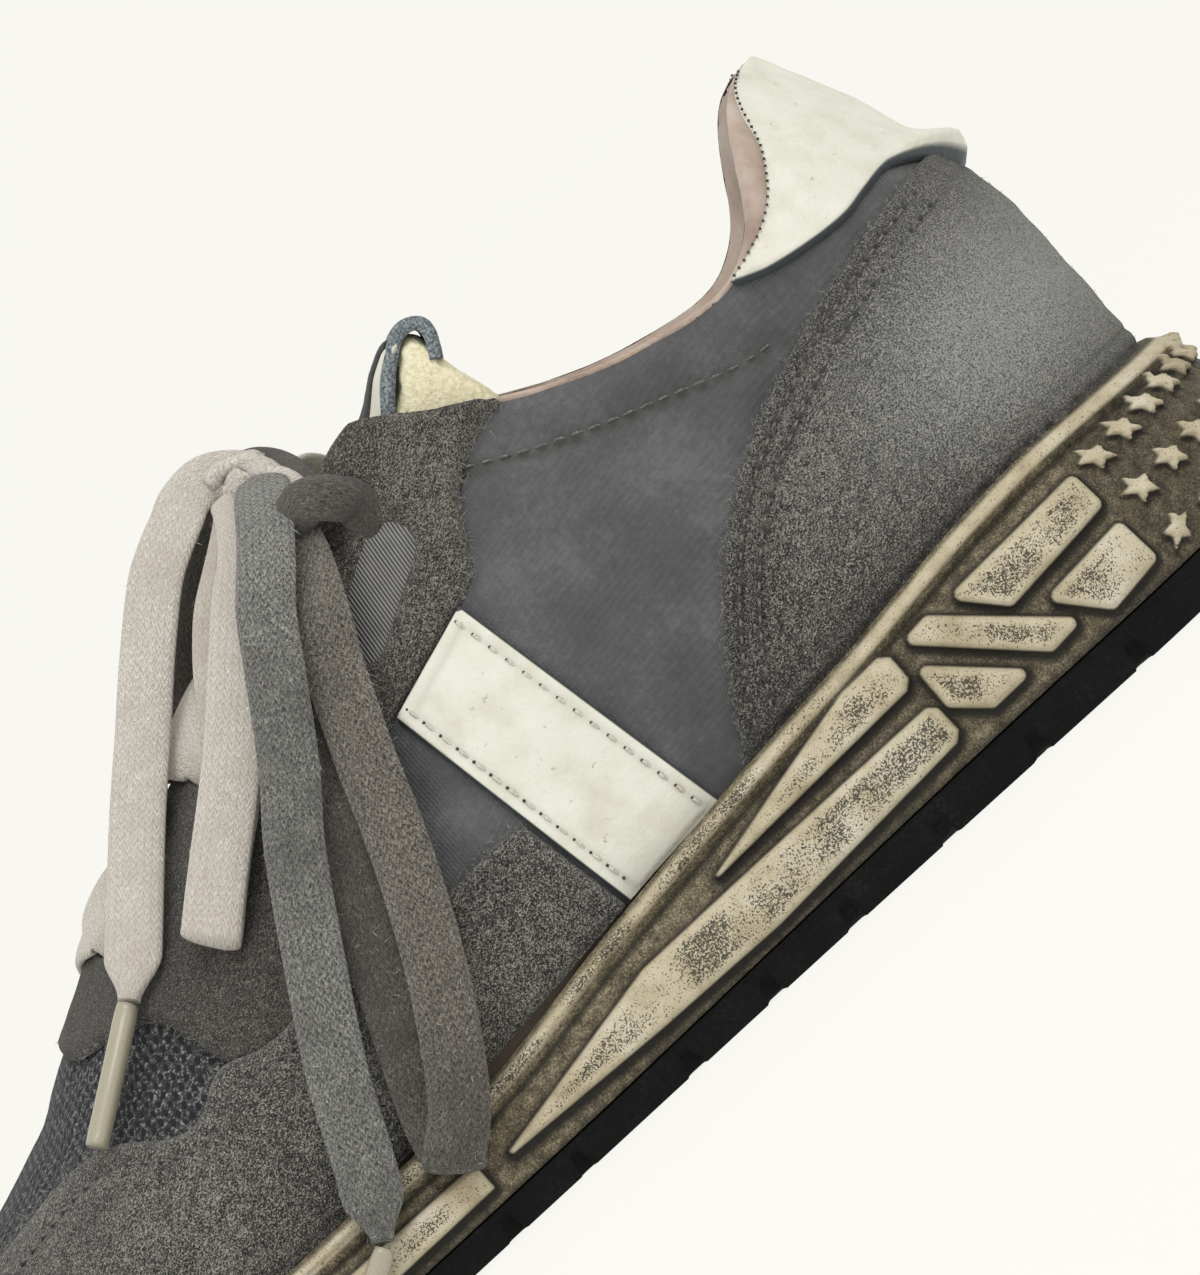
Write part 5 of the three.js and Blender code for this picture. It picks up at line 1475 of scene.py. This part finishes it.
levels = np.concatenate([[-0.02], np.linspace(0, 1, 58), [1.005, 1.02]])
sides = sole_net(MIDSOLE_LAYERS, levels, 0.4, 0.55, midsole_height)
all_points, all_faces, looks, count = [], [], [], 0
for side, wall in zip((1, -1), sides):
    raised, within, shade = relief_of(wall)
    below = lip_height(wall[..., 0]) - wall[..., 2]
    rim = np.exp(-(((below - 1.5) / 1.2) ** 2))
    ditch = np.exp(-(((below - 4.0) / 0.6) ** 2))
    foot = np.exp(-(((levels - 0.02) / 0.03) ** 2))[None, :]
    ahead = unit(np.gradient(wall[:, :, :2], axis=0))
    out = np.stack([-ahead[..., 1], ahead[..., 0], np.zeros(ahead.shape[:2])], -1) * side
    inside = ((levels >= 0) & (levels <= 1))[None, :]
    dents = 0.12 * ripple(wall.reshape(-1, 3), 6, 71).reshape(raised.shape)
    push = (1.8 * raised + 0.9 * rim - 0.5 * ditch + 0.3 * foot + dents) * inside
    points = wall + out * push[..., None]
    faces = triangles(grid_faces(*wall.shape[:2]))
    all_points.append(points.reshape(-1, 3))
    all_faces.append((faces if side < 0 else faces[:, ::-1]) + count)
    # Painted shade in the ditch under the bead and at the foot of the wall, where it meets the outsole.
    shade = np.maximum(np.maximum(shade, 0.9 * ditch), 0.7 * (1 - ease(levels, 0.0, 0.1))[None, :])
    soiled = ease(wall[..., 0], 66, 96)  # the lip is rubbed clean at the heel and black with dirt farther on
    looks.append(
        np.stack([np.maximum(raised, rim), np.maximum(within, 1.2 * soiled * rim), shade], -1).reshape(-1, 3)
    )
    count += len(all_points[-1])
points, faces, looks = tidy_mesh(np.vstack(all_points), np.vstack(all_faces), np.vstack(looks))
piece(
    "midsole_foam", points, faces, eva, "eva_foam", ["midsole"], None,
    dict(zip(("raised", "inside", "shade"), looks.T)),
)

# %% [markdown]
# The outsole is a loft of sections: each one runs along the tread from one edge to the other and back over
# the top. Grooves cross it at the CAD's places, and between them small studs give the tread.

# %% Outsole
OUTSOLE_LAYERS = np.array([(-0.01, 8, 288, -1.0), (0, 5.5, 291, 2.6), (0.3, 3, 293, 3.7), (1, 2, 294, 4)])
GROOVE_X = np.array([24, 41, 60.5, 78.5, 96.5, 112, 127.5, 148.5, 162, 178, 194, 211, 228, 245, 262])


def outsole_height(x, level):
    bevel = 2.4 * np.clip((20 - x) / 20, 0, 1) ** 2
    share = np.clip(level, 0, 1)
    near = np.abs(x[..., None] - GROOVE_X).min(-1)
    groove = 3.0 * (1 - ease(near, 1.05, 1.4))
    low = spring(x) + bevel + groove
    return low + (spring(x) + outsole_thick(x) - low) * share


levels = np.concatenate([[0.0], np.linspace(0.02, 1, 12)])
sides = sole_net(OUTSOLE_LAYERS, levels, 0.65, 0.75, outsole_height)
rim = [wall[:, 0] for wall in sides]
across = np.linspace(0, 1, 56)[None, :, None]
tread = rim[0][:, None] * (1 - across) + rim[1][:, None] * across
x, y = tread[..., 0], tread[..., 1]
low = outsole_height(x, np.zeros_like(x))
stud = np.maximum(np.abs((x + 0.5 * y) % 8.5 - 4.25), np.abs((y - 0.5 * x) % 8.5 - 4.25))
from_rim = np.minimum(across[..., 0], 1 - across[..., 0]) * np.abs(rim[0] - rim[1])[:, 1][:, None]
filled = np.minimum(low, spring(x) + 0.05 + 2.4 * np.clip((20 - x) / 20, 0, 1) ** 2)
tread[..., 2] = (
    low + (filled - low) * ease(from_rim, 0.8, 1.6) + 1.1 * ease(stud, 2.9, 3.5) * ease(from_rim, 2.5, 4)
)
parts = [(sides[0], True), (sides[1], False), (tread, False)]
all_points, all_faces, count = [], [], 0
for wall, flip in parts:
    faces = triangles(grid_faces(*wall.shape[:2]))
    all_points.append(wall.reshape(-1, 3))
    all_faces.append((faces[:, ::-1] if flip else faces) + count)
    count += wall.shape[0] * wall.shape[1]
points, faces = tidy_mesh(np.vstack(all_points), np.vstack(all_faces))
piece("outsole_rubber", points, faces, rubber, "black_rubber", ["outsole"])

# %% Insole
s = np.concatenate(
    [np.linspace(0, 1, 24, endpoint=False), np.linspace(1, 2, 80, endpoint=False), np.linspace(2, 3, 40)]
)
share = np.linspace(-1, 1, 49)
x = station(s, -2.8)[:, None]
y = middle(x) + share[None, :] * np.where(
    share[None, :] > 0, half_width(x, 1.0, -2.8), half_width(x, -1.0, -2.8)
) * 0.97
dish = 2.2 * np.abs(share[None, :]) ** 3 * ease(150 - x, 0, 60)
z = cup_floor(x) + 4 + dish - 0.6 * np.exp(-(((x - 55) / 25) ** 2)) * (1 - share[None, :] ** 2)
points = np.stack(np.broadcast_arrays(x, y, z), -1).reshape(-1, 3)
insole_pad = piece(
    "insole_pad", points, triangles(grid_faces(len(s), len(share))), lining, "lining", ["insole"]
)

# %% [markdown]
# ## Tongue
# Its foam has lost its cover at the edge: a leather face, a raw strip folded over the top, and bare foam
# behind. Each is a sheet that follows the last from below, with its own thickness.


# %% Tongue
tongue_half = curve(
    (84, 19), (90, 19), (94, 16.4), (98, 15), (101, 16.5), (104, 21), (108, 24), (150, 23), (200, 20),
    (206, 12)
)

tongue_dip = curve((84, 0), (91, 0), (96, 1.2), (101, 3.6), (106, 4), (112, 2.5), (120, 0.5), (130, 0))


def under_skin(x, off, sink):
    """A place below the instep, off from the middle line; the tongue's top end is flat."""
    half = half_width(x, np.where(off >= 0, 1.0, -1.0), 0)
    k = np.clip(np.abs(off) / half, 0, 1) ** (side_round(x) / 2)
    low = widest(x)
    top = ridge_height(x, 0) - tongue_dip(x)
    flat = 1 - ease(x, 96, 106)
    drop = (top - low) * (1 - np.sqrt(1 - k * k) ** (2 / top_round(x)))
    z = top - drop * (1 - flat)
    normal = unit(np.stack(np.broadcast_arrays(0.42, 1.35 * off / half * (1 - flat), 1.0), -1))
    return np.stack(np.broadcast_arrays(x, middle(x) + off, z), -1) - normal * np.asarray(sink)[..., None]


def roughened(points, seed, rough, way):
    """Torn foam: bumps of two sizes."""
    bumps = rough * ripple(points, 3, seed) + rough * ripple(points, 1.4, seed + 1)
    return points + bumps[:, None] * way


def slab(xs, half, top, bottom, seed, rough, deeper=lambda x: 0 * x):
    """A closed padded strip of the tongue between two depths below the skin."""
    share = np.sin(np.linspace(-1, 1, 41) * math.pi / 2)
    x, q = np.meshgrid(xs, share, indexing="ij")
    off = q * half(x)
    round_side = np.sqrt(np.clip(1 - np.abs(q) ** 6, 0, 1))
    ends = np.clip(np.minimum(x - xs[0], xs[-1] - x) / 2.5, 0, 1)
    round_end = np.sqrt(1 - (1 - ends) ** 2)
    low = bottom + deeper(x)
    middle_depth, thick = (top + low) / 2, (low - top) / 2 * round_side * round_end
    upper_side = under_skin(x, off, middle_depth - thick)
    lower_side = under_skin(x, off, middle_depth + thick)
    rows, columns = x.shape
    faces = triangles(grid_faces(rows, columns))
    points = np.vstack([upper_side.reshape(-1, 3), lower_side.reshape(-1, 3)])
    points = roughened(points, seed, rough, [0.3, 0.3, 1])
    return tidy_mesh(points, np.vstack([faces[:, ::-1], faces + rows * columns]))


def prism(profile, half, seed, rough):
    """A side-view outline carried across the tongue, with softened ends."""
    q = np.sin(np.linspace(-1, 1, 41) * math.pi / 2)[:, None]
    heart = profile.mean(0)
    shrunk = heart + (profile - heart)[None] * (0.7 + 0.3 * np.sqrt(1 - np.abs(q) ** 8))[..., None]
    y = np.broadcast_to(middle(90) + q * half, shrunk.shape[:2])
    rings = np.stack([shrunk[..., 0], y, shrunk[..., 1]], -1)
    rows, columns = rings.shape[:2]
    points = rings.reshape(-1, 3)
    points = roughened(points, seed, rough, [1, 0.3, 1])
    points = np.vstack([points, rings[0].mean(0), rings[-1].mean(0)])
    ring = np.arange(columns)
    first = np.stack([np.full(columns, rows * columns), ring, np.roll(ring, -1)], 1)
    last = np.stack([np.full(columns, rows * columns + 1), np.roll(ring, -1), ring], 1)
    last[:, 1:] += (rows - 1) * columns
    return points, np.vstack([triangles(grid_faces(rows, columns, True))[:, ::-1], first, last])


FOAM_END = [
    (101, 96.5), (96.8, 98.8), (93, 102.8), (90.4, 105.4), (88.4, 105.8), (86.9, 104), (86.5, 98.9),
    (85.5, 95.1), (84.5, 91.4), (85, 88), (93, 88), (100, 92), (101, 96.5),
]
along_tongue = slab(np.linspace(95.5, 206, 140), tongue_half, 4.4, 9.6, 81, 0.1)
at_top = prism(spline(FOAM_END, 5)[:-1], 17.2, 83, 0.14)
points, faces, _ = gather([(*part, np.zeros((len(part[0]), 2))) for part in (along_tongue, at_top)])
tongue_foam = piece("tongue_foam", points, faces, foam, "tongue_foam", ["tongue"])
points, faces = slab(
    np.linspace(91.2, 205, 150), lambda x: tongue_half(x) + 0.4, 1.7, 4.4, 84, 0.03,
    lambda x: 1.2 * ease(x, 91, 100),
)
piece("tongue_face", points, faces, leather, "white_leather", (), None, {"depth": np.full(len(points), 9.0)})

FOLD_LINE = [
    (98.2, 98.4), (96, 101), (93.7, 103.3), (91.3, 105.2), (89.3, 106.4), (87.3, 106.6), (85.7, 105.6),
    (85.5, 104), (86.2, 102.2), (87.4, 100.2),
]
FOLD = spline(FOLD_LINE, 5)
way = unit(np.gradient(FOLD, axis=0))
beside = np.stack([way[:, 1], -way[:, 0]], 1) * 1.05
loop = np.vstack([FOLD + beside, (FOLD - beside)[::-1]])
off = np.linspace(-17.6, 17.6, 45)
rings = np.stack(np.broadcast_arrays(loop[None, :, 0], middle(90) + off[:, None], loop[None, :, 1]), -1)
rings = rings + (0.1 * ripple(rings.reshape(-1, 3), 2.5, 91)).reshape(*rings.shape[:2], 1) * [1, 0, 1]
rows, columns = rings.shape[:2]
body = triangles(grid_faces(rows, columns, True))
edge_rows = np.arange(len(FOLD) - 1)
cap = triangles(np.stack([edge_rows, edge_rows + 1, columns - 2 - edge_rows, columns - 1 - edge_rows], 1))
faces = np.vstack([body[:, ::-1], cap, cap[:, ::-1] + (rows - 1) * columns])
piece("tongue_fold", rings.reshape(-1, 3), faces, raw_edge, "tongue_foam")

# Woven cloth label: dark and slightly satin, with threads drawn 0.5 mm wide so that they show.
label = new_material("black_label")
place = add(label, "TexCoord", None, None, 3)
threads = add(label, "TexNoise", None, {"Vector": place, "Scale": 1800, "Detail": 3})
base = add(label, "ValToRGB", {"ramp": [(0.35, "#1b1b1c"), (0.65, "#3a3a3b")]}, {0: threads})
bump = add(label, "Bump", None, {"Strength": 0.5, "Distance": 0.0003, "Height": threads})
close_material(label, {"Base Color": base, "Roughness": 0.7, "Normal": bump})
points, faces = slab(np.linspace(91.2, 112, 30), lambda x: 0 * x + 9, 1.0, 2.2, 87, 0.04)
piece("tongue_label", points, faces, label, "tongue_foam")

# %% [markdown]
# ## Stitches and loose fibres
# Small things in great number are joined into one mesh each: thousands of objects would be slow, and one
# mesh of arrays is made at once. A stitch is a short capsule bent into its groove, a fibre a thin bent
# blade. Fibres stand along the cut edges, thinly over the suede, and more thickly on the two grey laces,
# which are rubbed the most.


# %% Stitches
def offset_line(line, by):
    """The line moved by so many millimetres to its right."""
    way = unit(np.gradient(line, axis=0))
    return line + np.stack([way[:, 1], -way[:, 0]], 1) * by


def stitch_row(line, side, grow, pitch=2.5, length=1.8, radius=0.28, clear_of_strap=True):
    gone = travelled(line)
    starts = np.arange(0.5, gone[-1] - length, pitch)
    rows = []
    for t in np.linspace(0, 1, 5):
        at = starts + t * length
        rows.append(np.stack([np.interp(at, gone, line[:, k]) for k in (0, 1)], 1))
    seen = np.stack(rows, 1)
    keep = (seen[..., 1] < ridge_height(seen[..., 0], grow) - 3) & (
        seen[..., 1] > lip_height(seen[..., 0]) + 1
    )
    if clear_of_strap:
        keep = keep & (signed(SADDLE_ROOM, seen.reshape(-1, 2)).reshape(keep.shape) > 0)
    wall, _ = on_side(seen[..., 0], seen[..., 1], side, 0)
    keep = (keep & (opening(wall.reshape(-1, 3)).reshape(keep.shape) < -2)).all(1)
    seen = seen[keep]
    if not len(seen):
        return None
    points, normal = on_side(seen[..., 0], seen[..., 1], side, grow)
    arch = np.array([-0.35, 0.12, 0.25, 0.12, -0.35])[None, :, None]
    points = points + normal * arch
    ahead = unit(np.gradient(points, axis=1))
    across = unit(np.cross(ahead, normal))
    phi = np.linspace(0, 2 * math.pi, 6, endpoint=False)
    thick = radius * np.array([0.35, 0.9, 1, 0.9, 0.35])[None, :, None, None]
    ring = (
        np.cos(phi)[None, None, :, None] * across[:, :, None]
        + np.sin(phi)[None, None, :, None] * normal[:, :, None]
    )
    tube = points[:, :, None] + ring * thick
    faces = triangles(grid_faces(5, 6, True))
    return tube.reshape(-1, 3), copies(faces, len(tube), 30), np.zeros((len(tube) * 30, 2))


# Polyester sewing thread: pale on the strap, grey along the seams and in the suede. The short dark beads in
# the gaps of the suede's and the strap's rows are painted shade in the stitch holes.
dark_stitch_and_hole_shade = thread_material("dark_stitch_and_hole_shade", "#1f1e1d", "#474442")
pale_thread = thread_material("pale_thread", "#c9c5b6", "#f2efe2")
seam_thread = thread_material("grey_thread", "#4b4a48", "#8a8783")
thread_and_hole_shade_rows, pale_rows, seam_rows = [], [], []
for side in (1, -1):
    for line in (
        offset_line(COUNTER_LINE, 2.4), offset_line(COUNTER_LINE, 5.2), offset_line(MUDGUARD_LINE, 3.0)
    ):
        seam_rows.append(stitch_row(line, side, 1.55, 2.4, 1.6, 0.22))
        # Painted shade: a short dark bead between the thread dashes, in each stitch hole.
        thread_and_hole_shade_rows.append(stitch_row(line[::-1], side, 1.6, 2.4, 0.9, 0.36))
    seam_rows.append(stitch_row(SEAM, side, -0.2, 2.7, 2.1, 0.2))
    for a, b in ((SADDLE[0], SADDLE[3]), (SADDLE[1], SADDLE[2])):
        line = a + (b - a) * np.linspace(0, 1, 60)[:, None]
        line = offset_line(line, -2.2 if a[0] < 115 else 2.2)
        pale_rows.append(stitch_row(line, side, 1.5, 3.0, 2.5, 0.26, False))
        # Painted shade: a short dark bead between the thread dashes, in each stitch hole.
        thread_and_hole_shade_rows.append(stitch_row(line[::-1], side, 1.45, 3.0, 0.7, 0.24, False))


def dots(line, pitch, radius):
    """Small eight-sided beads along a line in space: stitches seen from their ends."""
    at = travelled(line)
    stops = np.arange(pitch, at[-1], pitch)
    centre = np.stack([np.interp(stops, at, line[:, k]) for k in range(3)], 1)
    shape = np.vstack([np.eye(3), -np.eye(3)]) * radius
    faces = np.array([(0, 1, 2), (1, 3, 2), (3, 4, 2), (4, 0, 2), (1, 0, 5), (3, 1, 5), (4, 3, 5), (0, 4, 5)])
    points = (centre[:, None] + shape[None]).reshape(-1, 3)
    return points, copies(faces, len(centre), 6), np.zeros((len(points), 2))


rise = np.linspace(0.3, 1, 500)
for side in (1, -1):
    line = []
    for s in np.linspace(0, 1.1, 160):
        flat = skin(np.full(500, s), rise, np.full(500, side), 1.0)
        in_tab = np.flatnonzero(
            np.maximum(signed(tab_outline, flat[:, [0, 2]]), opening(flat) + tab_edge(flat) + 0.4) < 0
        )
        if len(in_tab) and flat[in_tab[-1], 2] < 101:
            line.append(skin(s, rise[in_tab[-1]], side, 2.2))
    thread_and_hole_shade_rows.append(dots(np.array(line), 1.3, 0.3))
for name, rows, thread, slot in (
    ("dark_stitches_and_hole_shade", thread_and_hole_shade_rows, dark_stitch_and_hole_shade, "suede"),
    ("strap_stitches", pale_rows, pale_thread, "white_leather"),
    ("seam_stitches", seam_rows, seam_thread, "nylon"),
):
    points, faces, _ = gather([row for row in rows if row is not None])
    piece(name, points, faces, thread, slot)


# %% Loose fibres
def along(line, side, per_mm, jitter, seed):
    """Random places of the skin along a line of the side view."""
    rng = np.random.default_rng(seed)
    gone = travelled(line)
    at = rng.uniform(0, gone[-1], int(gone[-1] * per_mm))
    seen = (
        np.stack([np.interp(at, gone, line[:, k]) for k in (0, 1)], 1)
        + rng.normal(size=(len(at), 2)) * jitter
    )
    keep = (seen[:, 1] < ridge_height(seen[:, 0], 0) - 2) & (seen[:, 1] > lip_height(seen[:, 0]) + 0.5)
    keep &= signed(SADDLE_ROOM, seen) > 0
    root, normal = on_side(*seen[keep].T, side, 1.2)
    inside = opening(root) < -1
    return root[inside], normal[inside]


# Loose fibres of the cut edges: paler than the suede, because they have lost their dye.
fluff = thread_material("suede_fluff", "#6d6a66", "#a9a69f")
tufts = []
for side in (1, -1):
    tufts.append(blades(*along(EYESTAY_LINE, side, 9, 0.4, 5), 1.2, 6))
    tufts.append(blades(*along(MUDGUARD_LINE, side, 8, 0.4, 7), 1.2, 8))
    tufts.append(blades(*along(COUNTER_LINE, side, 6, 0.3, 9), 1.0, 10))
points, faces, _ = gather(tufts)
piece("suede_fluff_edges", points, faces, fluff, "suede")

# The standing nap: nearly black to dusty grey.
nap = thread_material("suede_nap", "#3c3a37", "#aba79f")
naps = []
for seed, owner in ((21, mudguard_suede), (22, heel_counter_suede), (23, eyestay_suede)):
    naps.append(blades(*scatter(owner, 0.45, seed), 0.8, seed + 10, 1.6, 0.05))
points, faces, _ = gather(naps)
piece("suede_nap_hairs", points, faces, nap, "suede")
